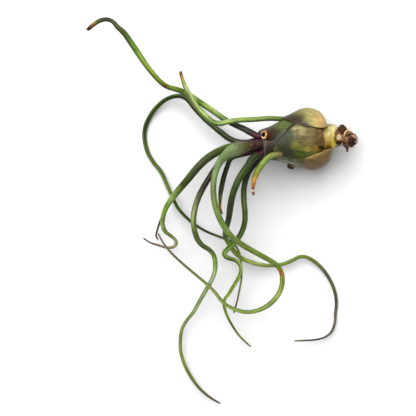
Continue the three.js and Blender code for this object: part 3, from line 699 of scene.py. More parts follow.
make_leaf("leaf_short_yellow", "leaf_olive_yellow", leaf_rows(118, YELLOW_SHEATH, THIN_SHEET), [
    (0, 160, 124, 66), (3, 150, 118, 62), (8, 124, 110, 58), (13, 108, 104, 54), (17, 88, 86, 48),
    (21, 66, 68, 42), (28, 92, 90, 58),
], [
    ((66, 58, 38), (-8.8, 1.6, 20), (2.2, 3, 9), 0.6, 0.85),
    ((34, 36, 18), (-11.6, -2.4, 20), (1.6, 2, 9), 0.6, 0.85),
    ((54, 44, 26), (-5.2, -7.2, 18), (1.8, 0.8, 9), 0.6, 0.7),
    # Pale patch, with the one at (-3.6, 3.4): a painted highlight on the sheath's upper left, over its
    # pale stripes.
    ((180, 170, 118), (-5.4, 3.4, 20), (1.7, 2, 9), 0.9, 0.8),
    ((132, 130, 62), (-3.4, -2.8, 20), (4.2, 2, 9), 0.5, 0.85),
    ((82, 98, 36), (-3.6, -5.8, 18), (3.6, 1.8, 9), 0.6, 0.85),
    ((40, 46, 22), (-10.4, -1.6, 19), (2.6, 4, 9), 0.6, 0.85),
    ((34, 38, 22), (-8, -5.8, 18), (2.4, 1.9, 9), 0.6, 0.8),
    ((186, 188, 164), (-7.8, -9.7, 14), (3.8, 1.6, 7), 0.6, 0.85),
    ((176, 176, 156), (-11.6, -8.4, 14), (2.8, 1.6, 7), 0.6, 0.85),
    ((80, 70, 42), (-0.9, 1.3, 21), (5, 4.7, 9), 0.15, 0.8),
    ((128, 112, 72), (-0.6, 1.5, 21), (4.6, 4.4, 9), 0.15, 0.95),
    # Pale patch: part of the painted highlight on the sheath's upper left.
    ((176, 166, 114), (-3.6, 3.4, 21), (1.6, 1.8, 9), 0.6, 0.75),
    ((108, 86, 48), (2.2, 0, 21), (1.8, 3.4, 9), 0.6, 0.7),
    ((176, 142, 88), (3.9, 2.8, 16), (1.1, 2.8, 9), 0.4, 0.9),
    ((138, 100, 54), (3.7, -0.6, 16), (1.2, 2.6, 9), 0.4, 0.9),
    ((168, 154, 78), (-1.6, -4.1, 18), (2.8, 1, 9), 0.5, 0.9),
    ((182, 128, 52), (2.2, -3.9, 18), (2, 0.6, 9), 0.5, 0.8),
    # Near-black spot: painted shadow in the hollow between this sheath, the low leaf and the stem.
    ((40, 22, 10), (4, -3.4, 18), (1.2, 0.8, 9), 0.4, 0.95),
], part="sheath", points=120, step=0.5, closed=(), inner=(70, 60, 36), margin=None,
    # The near-black streak on the first margin: the sheath's maroon margin, widened and darkened as
    # painted shade where it lies over the collar leaf.
    streaks=[((26, 8, 16), -1, 0.13, -30, 60, 0.95)], lines=0.5, mottle=0.5, scurf=0.04)
make_leaf("leaf_short_yellow", "leaf_olive_yellow", blade_rows(118, YELLOW_START, YELLOW_BLADE), [
    (-5, 108, 88, 54), (-2.4, 130, 118, 66), (0, 122, 132, 66), (4, 118, 142, 72), (8, 128, 146, 66),
    (11, 186, 170, 76), (13.5, 214, 162, 84), (15, 176, 112, 62), (16.4, 104, 54, 30),
    (17, 236, 210, 180), (17.9, 230, 196, 160), (18.5, 128, 78, 50), (20.5, 90, 48, 34),
], blade=YELLOW_BLADE, tone=(1.13, 1.12, 1.15), part="blade", step=0.4, foot=1.4, closed=("foot", "tip"),
    streaks=[((228, 166, 60), 0.48, 0.22, 3, 14, 0.8), ((70, 88, 30), -0.5, 0.2, 4, 13, 0.55)])

# ---- The collar leaf, with its blade cut to a stub ----
# A grey-green, mottled sheath that clasps the whole neck, with a thin, pale, papery end, and painted
# shade where the short leaf's margin lies over it. Its blade was cut off close, and a short hollow stub
# stands there: cream where it was cut, purple round it, its hollow painted near-black as shade.

COLLAR_SHEATH = [
    (7.8, 5, -42, 148), (8.6, 7.6, -45, 150), (10, 9, -50, 155), (12.4, 9.6, -52, 158),
    (16, 9.5, -56, 162), (19.2, 9, -62, 168), (22, 8.2, -67, 173), (25.2, 7, -72, 178),
    (28, 6.3, -72, 178), (30, 5.9, -68, 174),
]

make_leaf("leaf_collar_cut", "sheath_grey_green", leaf_rows(60, COLLAR_SHEATH, THIN_SHEET), [
    (0, 92, 86, 50), (8, 92, 100, 54), (15, 88, 98, 52), (18, 76, 80, 46), (22, 70, 60, 46),
    (25.2, 78, 68, 56), (25.8, 160, 154, 138),
], [
    ((92, 108, 58), (-9.6, 6.6, 17), (4.6, 2.4, 8), 0.6, 0.8),
    ((150, 156, 104), (-11.6, 8, 14), (3.6, 0.8, 8), 0.5, 0.7),
    ((66, 40, 34), (-15.6, 2.4, 20), (2, 2.6, 6), 0.5, 0.85),
    ((180, 180, 158), (-10.6, -8.9, 11), (3.6, 1.5, 7), 0.6, 0.85),
    # Dark patch under the short leaf's margin: partly the sheath's purple-brown, partly painted shade
    # from that margin.
    ((34, 22, 18), (-13, -0.6, 21), (2, 4.4, 8), 0.5, 0.85),
    ((54, 44, 28), (-15.2, -1.6, 20), (2.4, 2.4, 8), 0.6, 0.8),
    ((40, 32, 26), (-16, -4.4, 19), (2.4, 2, 8), 0.5, 0.8),
    ((100, 106, 64), (-13.6, 5.4, 18), (2.4, 1.4, 7), 0.6, 0.7),
    ((160, 154, 140), (-17.7, -3.4, 18), (0.1, 4.4, 7), 0.8, 0.7),
    ((190, 184, 170), (-19.4, 1.6, 20), (0.12, 2.2, 7), 0.8, 0.8),
], part="sheath", points=120, step=0.5, tip=0.5, closed=(), margin=((60, 36, 34), 0.95, 0.05, 0.5),
    inner=MAROON, lines=0.35, scurf=0.04)

STUB_FACE = np.array([-18.4, 1.4, 21.2])
STUB_DIRECTION = unit(np.array([-0.72, 0.12, 0.68]))
# Rows of (distance below the cut face, outer radius, radius of the hollow).
STUB = [
    (4, 3, 2.2), (3, 2.5, 1.5), (2, 2.1, 1), (1, 1.8, 0.6), (0.3, 1.7, 0.5), (0, 1.5, 0.55),
]


def tube_rows(end, direction, tube):
    """A tube's rows, of the kind that a rolled leaf takes: rolled until its margins nearly meet."""
    meeting = math.radians(177)
    out = square_to(direction, UP)
    across = np.cross(out, direction)
    rows = []
    for below, outer, hollow in tube:
        curl = (outer + hollow) / 2
        place = end - direction * below + out * curl
        reach = curl * meeting
        rows.append((*place, *out, *across, curl, -reach, reach, outer - hollow, 1))
    return rows


make_leaf("leaf_collar_cut", "sheath_grey_green", tube_rows(STUB_FACE, STUB_DIRECTION, STUB), [
    (0, 72, 66, 44), (1.4, 62, 42, 32), (2.6, 76, 42, 32), (3.6, 58, 30, 22), (3.8, 204, 140, 80),
    (4.2, 255, 232, 184),
], part="stub", points=56, step=0.1, foot=0.4, tip=0.25, closed=(), waves=0.9, margin=None,
    # The near-black inside is painted shade in the stub's hollow.
    inner=(10, 6, 4), lines=0.4, scurf=0)

# ---- The leaf that loops in front ----
# The plant's highest leaf: broad, flat and pale at the neck, it arches up over the others, round a
# wide loop to the right and back to a thin tip. Pale grey-green, lit from above.

# The sheaths inside the bulb share two profiles: (distance along, outer radius, share of width).
MIDDLE_PROFILE = [
    (9.2, 4.6, 0.9), (9.8, 6.6, 1), (11, 7.8, 1), (12.6, 8.4, 1), (16, 8.3, 1), (19.2, 7.8, 1),
    (22, 7, 1), (25.2, 6, 1),
]
INNER_PROFILE = [
    (10.8, 3.6, 0.9), (11.4, 5.6, 1), (13, 6.9, 1), (16, 7, 1), (19.2, 6.5, 1), (22, 5.7, 1),
    (25.2, 4.7, 0.9),
]


def nested(profile, first, last):
    """A sheath inside the bulb, between two angles, from the profile that it shares."""
    middle, half = (first + last) / 2, (last - first) / 2
    return [
        (along, radius, middle - half * share, middle + half * share)
        for along, radius, share in profile
    ]


def inner_leaf(node, slot, back, span, start, blade, stops, patches=(), profile=MIDDLE_PROFILE, **finish):
    """A leaf of the plant's heart: its sheath is inside the bulb, and its blade comes out of the neck.

    The sheath goes round between the two angles of its span, and is maroon as far as the neck."""
    rows = leaf_rows(back, nested(profile, *span)) + blade_rows(back, [start], blade)
    make_leaf(node, slot, rows, [(-30, *MAROON), *stops], patches, blade, **finish)


FRONT_LOOP_BLADE = [
    (-24.6, -2.5, 22, 4.8, 2.6), (-28, -3.4, 26.8, 5.6, 2.6), (-31.2, -4.9, 30.8, 4.6, 2.6),
    (-34.8, -8, 35, 3.3, 2.5), (-36.8, -12, 38, 2.6), (-37.7, -16, 39.5, 2.4),
    (-37.9, -20.4, 40.2, 2.4), (-37.4, -24.8, 40.3, 2.4), (-36.2, -29.2, 40, 2.4), (-34, -34, 39, 2.35),
    (-30.4, -38.8, 37.5, 2.3), (-26.8, -41.6, 36, 2.3), (-23.2, -43.8, 34.5, 2.2),
    (-19.2, -46, 32.8, 2.1), (-15.2, -48.2, 31, 2.1), (-12.4, -50.2, 29.5, 2), (-10.8, -52.6, 28, 1.9),
    (-10.3, -56, 26, 2.15), (-10.8, -59.2, 24, 2.2), (-12.6, -62.7, 22, 2.2), (-15.8, -65.9, 20, 2.1),
    (-20, -68, 18.4, 1.95), (-24.6, -68.7, 17, 1.85), (-29.6, -67.5, 15.8, 1.7), (-34, -64.8, 15, 1.55),
    (-37.6, -60.4, 14.2, 1.45), (-40.8, -57.3, 13.5, 1.32), (-45.2, -53.6, 12.8, 1.22),
    (-49.2, -50.2, 12, 1.2), (-53.2, -46.6, 11, 1.05), (-56.8, -42.6, 10, 0.9),
    (-58.8, -39.6, 9.7, 0.75), (-60, -37, 9.5, 0.7),
]

inner_leaf("leaf_front_loop", "leaf_pale_green", 85, (47, 123), (30.5, 3.7, 85, 3.2), FRONT_LOOP_BLADE, [
    (-4, 88, 74, 44), (1, 92, 86, 48), (6, 126, 134, 90), (11, 136, 156, 108), (15, 112, 134, 84),
    (24, 116, 144, 88), (30, 104, 130, 66), (40, 112, 138, 68), (52, 118, 140, 64), (72, 116, 140, 54),
    (76.3, 128, 146, 56), (78, 172, 150, 66), (80.2, 166, 160, 68), (82.3, 160, 182, 70),
    (86, 186, 208, 108), (92, 168, 190, 102), (102, 142, 168, 78), (118, 142, 162, 74),
    (128, 132, 150, 60), (138, 112, 120, 54), (146, 116, 98, 66), (152, 124, 104, 92),
    (156, 110, 84, 72),
], [
    ((200, 88, 40), (-12, -52.3, 28), (0.8, 1.1, 6), 0.5, 0.9),
], base=(-2.6, 2.2), scurf=0.15, streaks=[((84, 58, 52), -0.5, 0.2, -3, 9, 0.7)])

# ---- The leaf that loops to the right ----
# A broad, lined, dark green blade that drops to the table, swings out to the right in a wide loop,
# goes grey-brown on the way, and lies down again at its pale, dry tip.

RIGHT_LOOP_BLADE = [
    (-22.4, -7.6, 18, 3.9, 3), (-24.2, -10.4, 19.4, 3.8, 2.9), (-26.8, -14, 20.4, 3.4, 2.8),
    (-29, -18.4, 20.2, 3.4, 2.7), (-30.4, -22.8, 18.8, 3.6, 2.6), (-31.2, -27.2, 16.8, 3.45, 2.5),
    (-31.8, -31.6, 14.6, 3.1, 2.3), (-32.8, -35.2, 12.6, 2.4), (-33.2, -38, 11, 2.2),
    (-32.2, -40.6, 9.4, 2), (-30.4, -43.4, 7.6, 2), (-28.4, -45.8, 6.2, 1.85), (-26, -47.6, 5.2, 1.7),
    (-22.4, -49, 4.2, 1.8), (-18.4, -50, 3.7, 1.65), (-14.4, -50.2, 3.5, 1.5), (-10, -49.6, 3.4, 1.5),
    (-6.4, -48.2, 3.2, 1.5), (-3.6, -46.8, 3, 1.5), (-1.2, -46.7, 2.6, 1.5), (2, -48.2, 2.2, 1.5),
    (5.6, -51.4, 1.7, 1.45), (8.8, -56, 1.2, 1.35), (10.8, -61.2, 0.8, 1.3), (11.3, -65.6, 0.55, 1.25),
    (10.9, -69.6, 0.75, 1.15), (10.7, -72.8, 1, 1.05), (9.4, -76.6, 1.6, 0.95), (6.8, -78.8, 2.4, 0.85),
    (2.8, -79.9, 3.4, 0.8), (-1.6, -80.2, 4.6, 0.75), (-6, -80.4, 6.2, 0.7),
]

inner_leaf("leaf_right_loop", "leaf_dark_green", 145, (127, 163), (30.3, 4, 145, 3), RIGHT_LOOP_BLADE, [
    (-3, 60, 56, 36), (0, 70, 86, 46), (10, 70, 94, 38), (20, 62, 74, 30), (27, 60, 62, 38),
    (31, 84, 100, 56), (38, 106, 134, 58), (46, 148, 170, 64), (54, 172, 188, 110), (62, 122, 144, 66),
    (74, 116, 136, 54), (80, 102, 116, 50), (86, 96, 100, 64), (96, 88, 86, 52), (102, 96, 88, 64),
    (106, 112, 102, 88), (110, 78, 78, 68), (114, 74, 76, 66), (118, 88, 90, 74), (124, 116, 108, 92),
    (129, 190, 170, 160), (132, 208, 190, 182),
], base=(-4, 0.8), streaks=[((70, 42, 36), 0.3, 0.25, 18, 30, 0.7)])

# ---- The leaf that reaches far to the left ----
# A stiff, bright leaf that runs straight out to the picture's upper left corner, thins at a bend
# and ends in a dark, hooked tip. Its base at the neck is maroon.

FAR_LEFT_BLADE = [
    (-22.8, 2.7, 14.2, 3), (-25.7, 4.3, 13.7, 2.8), (-29.3, 5.9, 13, 2.6), (-33.4, 8.1, 12, 2.5),
    (-38.8, 11.9, 11.5, 2.6), (-44.2, 15.5, 11.5, 2.7), (-47.6, 17.8, 11.8, 2.7),
    (-50.4, 19.3, 12.3, 2.6), (-53.3, 20.3, 12.8, 2.4), (-56.4, 21.2, 13.4, 2.3),
    (-59.6, 23.6, 14.5, 2.3), (-64.6, 29.5, 16.5, 2.5), (-69.1, 36.1, 18.6, 2.8),
    (-73.8, 42.8, 21, 2.6), (-76.4, 45.2, 22, 2.3), (-78.1, 47.2, 22.6, 2), (-80.4, 48.1, 23, 2),
    (-83.2, 47.6, 23, 2), (-85.9, 45.9, 22.5, 1.9), (-88.5, 43.6, 21.5, 1.6),
]

inner_leaf("leaf_far_left", "leaf_bright_green", 0, (-26, 26), (30.5, 3.6, 0, 2.9), FAR_LEFT_BLADE, [
    (-4, 44, 30, 28), (0, 36, 34, 22), (4, 48, 56, 34), (8, 34, 40, 18), (12, 104, 128, 70),
    (19, 180, 204, 114), (25, 106, 136, 54), (29, 206, 226, 146), (32, 80, 104, 38), (36, 118, 144, 54),
    (40, 112, 124, 42), (44, 134, 152, 58), (51, 164, 186, 84), (59, 146, 182, 86), (66, 92, 114, 46),
    (71, 90, 98, 58), (74, 98, 102, 76), (77, 44, 48, 26), (80.4, 78, 82, 32), (82.1, 138, 122, 48),
    (83.3, 140, 82, 40), (84.3, 92, 34, 26), (86, 74, 24, 26),
], [
    ((120, 74, 34), (-57.3, 20.6, 14), (1.2, 0.8, 4), 0.5, 0.85),
], tone=(0.97, 0.99, 0.93), base=(-1.5, 0.5))

# ---- The lower leaf with a kink ----
# A dark green blade that drops between its neighbours, makes one sharp kink, and runs on to a
# yellow-green end with a pale pink tip.

KINKED_BLADE = [
    (-20.8, -9.2, 13.2, 2.4), (-23.2, -11.8, 14.4, 2.6), (-24.8, -15.2, 16, 2.5),
    (-25.7, -19.6, 18.6, 2.4), (-25.7, -24, 21, 2.4), (-25.3, -28.4, 22, 2.35),
    (-25.3, -32.4, 21.4, 2.3), (-26.3, -36.2, 19.6, 2.3), (-28.2, -39.6, 17.4, 2.25),
    (-30.6, -42.2, 15.4, 2.2), (-32.8, -44.2, 14, 2.1), (-33.6, -45.6, 13.4, 2.05),
    (-32.8, -46.8, 13, 1.95), (-30.8, -47.6, 13, 1.77), (-28.6, -48.4, 13, 1.7),
    (-27.2, -50, 12.9, 1.65), (-26.9, -52.4, 12.5, 1.62), (-28, -55.4, 11.8, 1.57),
    (-29.8, -58.4, 11.2, 1.52), (-31.6, -61.4, 10.6, 1.43), (-33.3, -63.8, 10.2, 1.3),
    (-33.6, -66, 10, 1.3), (-32.6, -69.6, 8.8, 1.2), (-30.4, -74, 6.6, 1.05), (-27.2, -78.6, 4.6, 0.9),
    (-22.6, -83, 3.4, 0.7),
]

inner_leaf("leaf_lower_kinked", "leaf_dark_green", 186, (166, 204), (28.5, 4.9, 189, 2.2), KINKED_BLADE, [
    (-4, 36, 26, 22), (0, 32, 36, 20), (8, 44, 52, 32), (14, 56, 64, 28), (20, 74, 90, 38),
    (26, 80, 98, 46), (32, 94, 114, 58), (36, 116, 142, 76), (40, 122, 158, 70), (44, 152, 176, 98),
    (48, 92, 112, 54), (54, 168, 190, 112), (62, 162, 190, 84), (74, 178, 196, 92), (80, 120, 136, 64),
    (86, 156, 168, 72), (91, 190, 172, 136), (94, 214, 184, 168),
], tone=(1.05, 1.06, 1.02), margin=(BLOTCH_AND_SHADE_GREEN, 0.7, 0.25, 0.3), base=(-4, 0.8),
    streaks=[((84, 68, 40), 0, 0.3, 6, 22, 0.7)])

# ---- The leaf that arcs to the left ----
# A thick leaf that arches up and over to the left and hooks back at its end. Dark green with
# purple-brown margins, lighter on its way down, and a dry, pinkish tip.

LEFT_ARC_BLADE = [
    (-25.5, -1.5, 17.6, 3.1), (-30.4, -2.7, 20.6, 3.2), (-34.4, -4, 22.6, 3.2),
    (-39.2, -6.6, 24.5, 3.2), (-43.2, -10, 25.5, 3.2), (-48.6, -16.4, 24, 3), (-53.6, -22.4, 20, 2.6),
    (-56.4, -26.4, 18, 2.2), (-57.9, -30.4, 16, 2.05), (-58.1, -34, 13.8, 1.9),
    (-57, -36.6, 12.2, 1.77), (-55, -38.2, 10.6, 1.55), (-53.2, -39.8, 8.6, 1.4),
    (-52.7, -41.4, 7.2, 1.45), (-53.8, -42.7, 6.4, 1.3), (-55.6, -43.1, 6, 1.1), (-57.6, -42.8, 6, 1),
    (-60.4, -41.9, 6.3, 0.85), (-63.2, -41, 7, 0.75), (-66.2, -39, 8.2, 0.7),
]

inner_leaf("leaf_left_arc", "leaf_bright_green", 45, (-33, 123), (30.5, 1.6, 45, 2.7), LEFT_ARC_BLADE, [
    (0, 84, 60, 52), (7, 94, 104, 50), (11, 100, 126, 50), (16, 84, 102, 44), (24, 82, 100, 46),
    (31, 92, 116, 50), (36, 108, 130, 66), (40, 154, 176, 102), (44, 124, 156, 68), (50, 148, 172, 88),
    (54, 162, 180, 104), (58, 138, 148, 82), (62, 178, 188, 132), (66, 188, 172, 128),
    (70, 150, 132, 104), (74, 112, 92, 78), (78, 124, 96, 86), (81, 84, 62, 56),
# Dark olive streak on the first stretch: partly the leaf's dark olive, partly painted shade in its
# groove.
], profile=INNER_PROFILE, base=(2, 0.5), streaks=[((50, 50, 24), 0.25, 0.32, 8, 35, 0.75)])

# ---- The long lower leaf ----
# The longest leaf: blackish at the neck, grey-green in its first bend, pale where it straightens,
# and dark green again on its sweep down to the picture's bottom edge.

LOWER_BLADE = [
    (-25, -4.1, 14.8, 2.4), (-30.4, -4.9, 16.6, 2.4), (-34.4, -7.6, 19.4, 2.4),
    (-37.2, -11.4, 21.8, 2.35), (-40.4, -16.4, 23, 2.45), (-43.2, -21.4, 22, 2.5),
    (-45.1, -26.4, 20.2, 2.55), (-45.9, -31.2, 18.2, 2.55), (-45.6, -35.6, 16.4, 2.45),
    (-44.4, -39.6, 15.2, 2.4), (-42.4, -42.2, 14.5, 2.25), (-39.6, -44, 13.8, 2.15),
    (-37.9, -46, 13, 2.1), (-37.2, -48.8, 12.2, 2.1), (-37.3, -52, 11.5, 1.95),
    (-38.4, -55.6, 10.5, 1.85), (-40.6, -59.6, 9.4, 1.8), (-43.4, -64.4, 7.6, 1.75),
    (-46, -69, 5.8, 1.55), (-48.6, -72.2, 4.8, 1.45), (-50.4, -75.6, 4, 1.5), (-51.1, -79.6, 3.4, 1.45),
    (-51, -84.4, 3, 1.4), (-49.4, -89.8, 2.7, 1.4), (-46.8, -94.8, 2.6, 1.4), (-43.2, -99.6, 2.8, 1.22),
    (-39.2, -103, 3.2, 1.05), (-34.8, -105.6, 4, 0.7),
]

inner_leaf("leaf_long_lower", "leaf_pale_green", 180, (125, 275), (30.5, 1.6, 180, 2.2), LOWER_BLADE, [
    (0, 60, 56, 34), (14, 60, 50, 38), (20, 34, 26, 20), (25, 58, 50, 38), (30, 106, 108, 74),
    (35, 180, 190, 130), (40, 172, 190, 120), (44, 102, 122, 58), (49, 84, 102, 54), (53, 72, 84, 50),
    (57, 112, 134, 68), (61, 144, 176, 88), (65, 172, 200, 124), (69, 176, 196, 146),
    (73, 158, 178, 116), (80, 170, 188, 132), (86, 146, 168, 102), (92, 138, 154, 80),
    (98, 140, 156, 70), (106, 132, 148, 58), (112, 104, 118, 50), (119, 100, 110, 54),
    (125, 90, 80, 48), (129, 84, 54, 44),
], profile=INNER_PROFILE, margin=(BLOTCH_AND_SHADE_GREEN, 0.7, 0.25, 0.3), base=(0, 0.5),
    streaks=[((66, 44, 44), -0.4, 0.2, 24, 42, 0.6)])

# ---- The leaf that sweeps round the left ----
# A long, even leaf that lies down on the table at the left, comes back under the others, and thins
# to a reddish-brown tip.

SWEEP_BLADE = [
    (-24.8, -1, 11.2, 2.3), (-28.8, -0.6, 10.4, 2.4), (-32, 0.8, 9.4, 2.5), (-34.8, 3, 8.4, 2.5),
    (-39.2, 6.4, 7.2, 2), (-42.4, 9.4, 6.4, 2.1), (-45.6, 13, 5.8, 2.2), (-48.8, 16.6, 5.2, 2),
    (-52, 17.6, 4.6, 1.8), (-56.8, 16.2, 3.4, 1.8), (-61.8, 11.6, 2, 1.9), (-64.8, 6, 1.2, 1.9),
    (-65.4, 0.8, 0.85, 1.84), (-64, -5.2, 1.1, 1.75), (-61.6, -9.2, 1.4, 1.7), (-59, -12.4, 1.9, 1.7),
    (-56.8, -17, 2.6, 1.7), (-54.6, -22, 3.4, 1.6), (-52, -27.2, 4.1, 1.45), (-47.8, -31.8, 5, 1.3),
    (-44.4, -34.4, 5.6, 1.2), (-40, -36.9, 6.4, 1.1), (-34.4, -39.1, 7.3, 1.05),
    (-30.8, -40.6, 8.2, 1.1), (-28.4, -43.2, 9, 1), (-27.2, -46.4, 9.5, 0.95), (-26.7, -50.4, 9.5, 0.9),
    (-26.6, -54.8, 9, 0.85), (-27.4, -60, 8.7, 0.8), (-28.8, -66.2, 8.6, 0.75), (-29.8, -69.6, 8.4, 0.7),
]

inner_leaf("leaf_left_sweep", "leaf_dark_green", -50, (-71, -29), (30.5, 3.6, -50, 2.2), SWEEP_BLADE, [
    (-2, 80, 44, 50), (2, 70, 52, 48), (6, 66, 70, 46), (10, 58, 70, 40), (17, 76, 94, 52),
    (23, 88, 104, 60), (29, 86, 98, 58), (34, 62, 80, 34), (40, 66, 88, 34), (47, 88, 106, 42),
    (53, 62, 74, 38), (58, 88, 106, 54), (65, 102, 120, 58), (74, 104, 128, 60), (79, 126, 144, 76),
    (86, 104, 126, 66), (92, 74, 92, 38), (100, 82, 94, 48), (107, 84, 86, 54), (113, 84, 96, 60),
    (119, 120, 134, 70), (123, 148, 164, 78), (127, 112, 132, 72), (132, 176, 182, 136),
    (138, 150, 138, 96), (144, 116, 90, 68), (147, 120, 84, 70),
], tone=(1.05, 1.07, 1), margin=(BLOTCH_AND_SHADE_GREEN, 0.7, 0.25, 0.3), base=(-1, 0.5))

# ---- The short inner leaf ----
# A young, dark green blade, still short, that comes out of the neck between the others. It drops
# almost straight down, and ends in a dry tip, orange-brown and then dark.

SHORT_BLADE = [
    (-25.5, -5.6, 11, 2), (-30.8, -7.4, 10.2, 2), (-32.4, -10.8, 10, 2), (-33.8, -15.2, 10, 2.15),
    (-34.8, -20, 9.6, 2.1), (-35.2, -24, 9, 1.5), (-35.1, -27, 8.2, 1), (-34.2, -30, 7.2, 0.7),
]

inner_leaf("leaf_short_inner", "leaf_dark_green", 225, (207, 243), (30.5, 3.5, 225, 1.9), SHORT_BLADE, [
    (0, 60, 54, 38), (6, 62, 74, 38), (10, 38, 44, 28), (15, 48, 58, 36), (20, 88, 98, 66),
    (23, 132, 136, 58), (26, 186, 144, 56), (28, 140, 80, 50), (30, 70, 34, 28),
], tone=(1.2, 1.2, 1.15), base=(0, 0.5))

# ---- The leaf under the left arc ----
# A thinner, bright green leaf that grew on the underside of the plant. It follows the left arc
# underneath, close to the table, and ends in a dry, pinkish tip.

UNDER_BLADE = [
    (-24.8, -2.9, 9, 2.3), (-30.4, -3.2, 7.4, 2.4), (-39.2, -6.8, 7.4, 2.2), (-43.2, -10.2, 8, 2.1),
    (-48.4, -16.4, 8.4, 1.8), (-53.2, -22.4, 8, 1.5), (-56, -26.4, 7.2, 1.2), (-58, -30, 6, 1),
    (-59.1, -32.4, 5, 0.9), (-60.5, -36.8, 3.4, 0.8), (-60.7, -38.6, 3, 0.75), (-59.8, -40.1, 2.6, 0.7),
]

inner_leaf("leaf_left_under", "leaf_bright_green", -95, (-115, -75), (30.5, 3.6, -95, 2.2), UNDER_BLADE, [
    (0, 60, 50, 36), (20, 62, 72, 36), (36, 86, 106, 48), (46, 98, 122, 60), (50, 122, 130, 84),
    (54, 136, 118, 98), (57, 150, 130, 110),
], base=(0, 0.5))

# ---- The dried roots and scraps ----
# What hangs on the stem's broken end: a neck of torn brown pith, a matted clump of dead roots, and
# a few scraps of dead leaf, one broad and dark, the others narrow, pale and curled.


def scrap_rows(facing, strip):
    """A dry scrap's rows, of the kind that a rolled leaf takes, from (x, y, z, width, curl radius)."""
    thickness = 0.35
    places = [np.array(row[:3]) for row in strip]
    rows = []
    for place, tangent, (*_, width, curl) in zip(places, tangents(places), strip):
        out = square_to(tangent, facing)
        rows.append((*place, *out, *np.cross(out, tangent), curl, -width / 2, width / 2, thickness, 1))
    return rows


PITH = [
    (10.2, 0.45, 10.8, 3.2), (11.1, 0.45, 11.6, 3.2), (11.6, 0.4, 12, 2.4), (12.3, 0.3, 11.8, 1.6),
    (13.4, 0.2, 11, 1.6), (14.2, 0.2, 10.5, 1.8),
]
CLUMP = [
    (13.4, 0.3, 10.7, 1.2), (14.4, 0, 10.3, 2.3), (16, -0.3, 9.9, 2.7), (17.6, -0.7, 9.5, 2.1),
    (18.4, -0.8, 9.3, 0.9),
]
SPIKE = [
    (14, -0.8, 10.6, 1), (14.6, -2.4, 9.4, 0.9), (15, -3.6, 8.4, 0.6), (15.4, -4.8, 7.6, 0.25),
]

make_strand(
    "roots_pith", "roots", PITH,
    dry_skin("torn pith", (132, 88, 48), (220, 178, 124), 0.6, [
        ((255, 232, 184), (11.6, 0.6, 14), (1, 1, 4), 0.7, 0.8),
        # Near-black patch: painted shade in a hole in the torn pith.
        ((48, 28, 10), (11.4, -1.6, 13), (1.3, 1, 4), 0.4, 0.95),
    ]),
    lump=(1.8, 1.1), shreds=1.4, length=0.9, seed=2,
)
make_strand(
    "roots_clump", "roots", CLUMP,
    dry_skin("dead roots", (64, 34, 22), (190, 140, 106), patches=[
        # Near-black patch: painted shade in the hollow at the clump's core.
        ((26, 14, 10), (16.6, -1.3, 11), (1.7, 1.9, 5), 0.35, 0.85),
    ]),
    sides=48, lump=(3.2, 1.2), shreds=0.9, length=1.3, seed=5,
)
make_strand(
    "roots_spike", "roots", SPIKE, dry_skin("dead root", (110, 60, 48), (196, 146, 110)),
    sides=12, lump=(0.6, 0.9), shreds=0.4, length=0.9, seed=7,
)

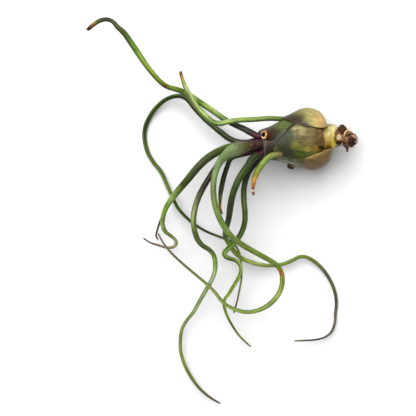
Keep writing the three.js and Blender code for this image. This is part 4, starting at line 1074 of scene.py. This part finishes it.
# Each scrap: the way it faces, its colours near the stem and at its end, and its rows.
SCRAPS = {
    "broad": ((-0.2, 0.3, 0.9), (60, 28, 8), (84, 42, 14), [
        (13.8, 0.6, 12.2, 1.2, 2), (13.8, 1.9, 12.6, 2.4, 2.4), (13.4, 3.2, 13, 3.4, 3),
        (12.5, 4.5, 13.2, 3.1, 3), (11.8, 5.4, 13.2, 2, 2.6),
    ]),
    "curled": ((-0.5, 0.4, 0.8), (214, 160, 116), (244, 216, 180), [
        (13.3, 0.5, 12.4, 0.8, 0.8), (13.8, 2.2, 13, 1, 0.7), (14.8, 3.4, 13.2, 0.9, 0.6),
        (15.7, 4, 13.1, 0.7, 0.5), (16.2, 4.8, 12.8, 0.3, 0.4),
    ]),
    "upper": ((0, 0.3, 0.9), (160, 112, 80), (112, 72, 48), [
        (14.2, 1.6, 12.4, 0.9, 0.9), (15.4, 2.6, 12.8, 1.3, 0.9), (16.6, 2.2, 12.5, 1.2, 0.9),
        (17.4, 1.2, 11.8, 0.5, 0.6),
    ]),
    "right": ((0.3, 0.2, 0.9), (214, 166, 132), (140, 98, 88), [
        (16.4, 1.6, 12.2, 0.6, 0.8), (17.4, 1.1, 12.1, 0.9, 0.7), (18.3, 0.3, 11.6, 0.9, 0.7),
        (18.8, -0.7, 10.8, 0.6, 0.6), (18.7, -1.8, 10, 0.3, 0.5),
    ]),
    "low": ((-0.3, -0.6, 0.7), (206, 154, 122), (150, 92, 66), [
        (12.6, 0.4, 12, 0.9, 0.8), (12.9, -0.8, 11.6, 1.3, 0.8), (13.6, -2, 10.6, 1, 0.7),
        (14.6, -2.8, 9.6, 0.4, 0.5),
    ]),
    "middle": ((0.1, -0.2, 0.9), (146, 96, 66), (184, 136, 100), [
        (13.8, 0.9, 12.3, 0.7, 0.9), (14.5, 0, 12.7, 1.2, 0.9), (14.8, -1.4, 12.2, 1.1, 0.8),
        (14.9, -2.6, 11, 0.5, 0.6),
    ]),
}

for name, (facing, near, end, strip) in SCRAPS.items():
    make_leaf(
        "roots", "root_brown", scrap_rows(np.array(facing), strip), [(0, *near), (6, *end)],
        part=name + "_scrap", points=32, step=0.25, foot=0.5, tip=0.6, waves=1.2, margin=None,
        lines=0.7, mottle=0.6, scurf=0.1,
    )

# ---- The floor and the light ----
# A plain, pale table, a large soft light above the picture's top edge, and a white room all round
# that fills the shadows in.

FLOOR_HALF = 1500
FLOOR_DROP = 0.05
FLOOR_COLOUR = (0.5, 0.5, 0.5, 1)

floor_mesh = bpy.data.meshes.new("floor")
corners = [
    (x * FLOOR_HALF * MM, y * FLOOR_HALF * MM, -FLOOR_DROP * MM)
    for x, y in ((-1, -1), (1, -1), (1, 1), (-1, 1))
]
floor_mesh.from_pydata(corners, [], [(0, 1, 2, 3)])
floor = put_in_scene("floor", floor_mesh)
floor_skin, floor_tree = skin_of("white table", roughness=0.8, shine=0.2)
floor_tree.nodes["Principled BSDF"].inputs["Base Color"].default_value = FLOOR_COLOUR
floor_mesh.materials.append(floor_skin)

WINDOW = Vector((-400, 600, 1200)) * MM
WINDOW_AIM = Vector((-30, -20, 10)) * MM
WINDOW_ACROSS = 1800
WINDOW_POWER = 60
ROOM_STRENGTH = 0.52

window = put_in_scene("window", bpy.data.lights.new("window", "AREA"))
window.data.shape = "DISK"
window.data.size = WINDOW_ACROSS * MM
window.data.energy = WINDOW_POWER
window.location = WINDOW
window.rotation_euler = (WINDOW_AIM - WINDOW).to_track_quat("-Z", "Y").to_euler()

room = bpy.data.worlds.new("room")
room.use_nodes = True
room.node_tree.nodes["Background"].inputs["Color"].default_value = (1, 1, 1, 1)
room.node_tree.nodes["Background"].inputs["Strength"].default_value = ROOM_STRENGTH
bpy.context.scene.world = room
bpy.context.scene.view_settings.view_transform = "Standard"
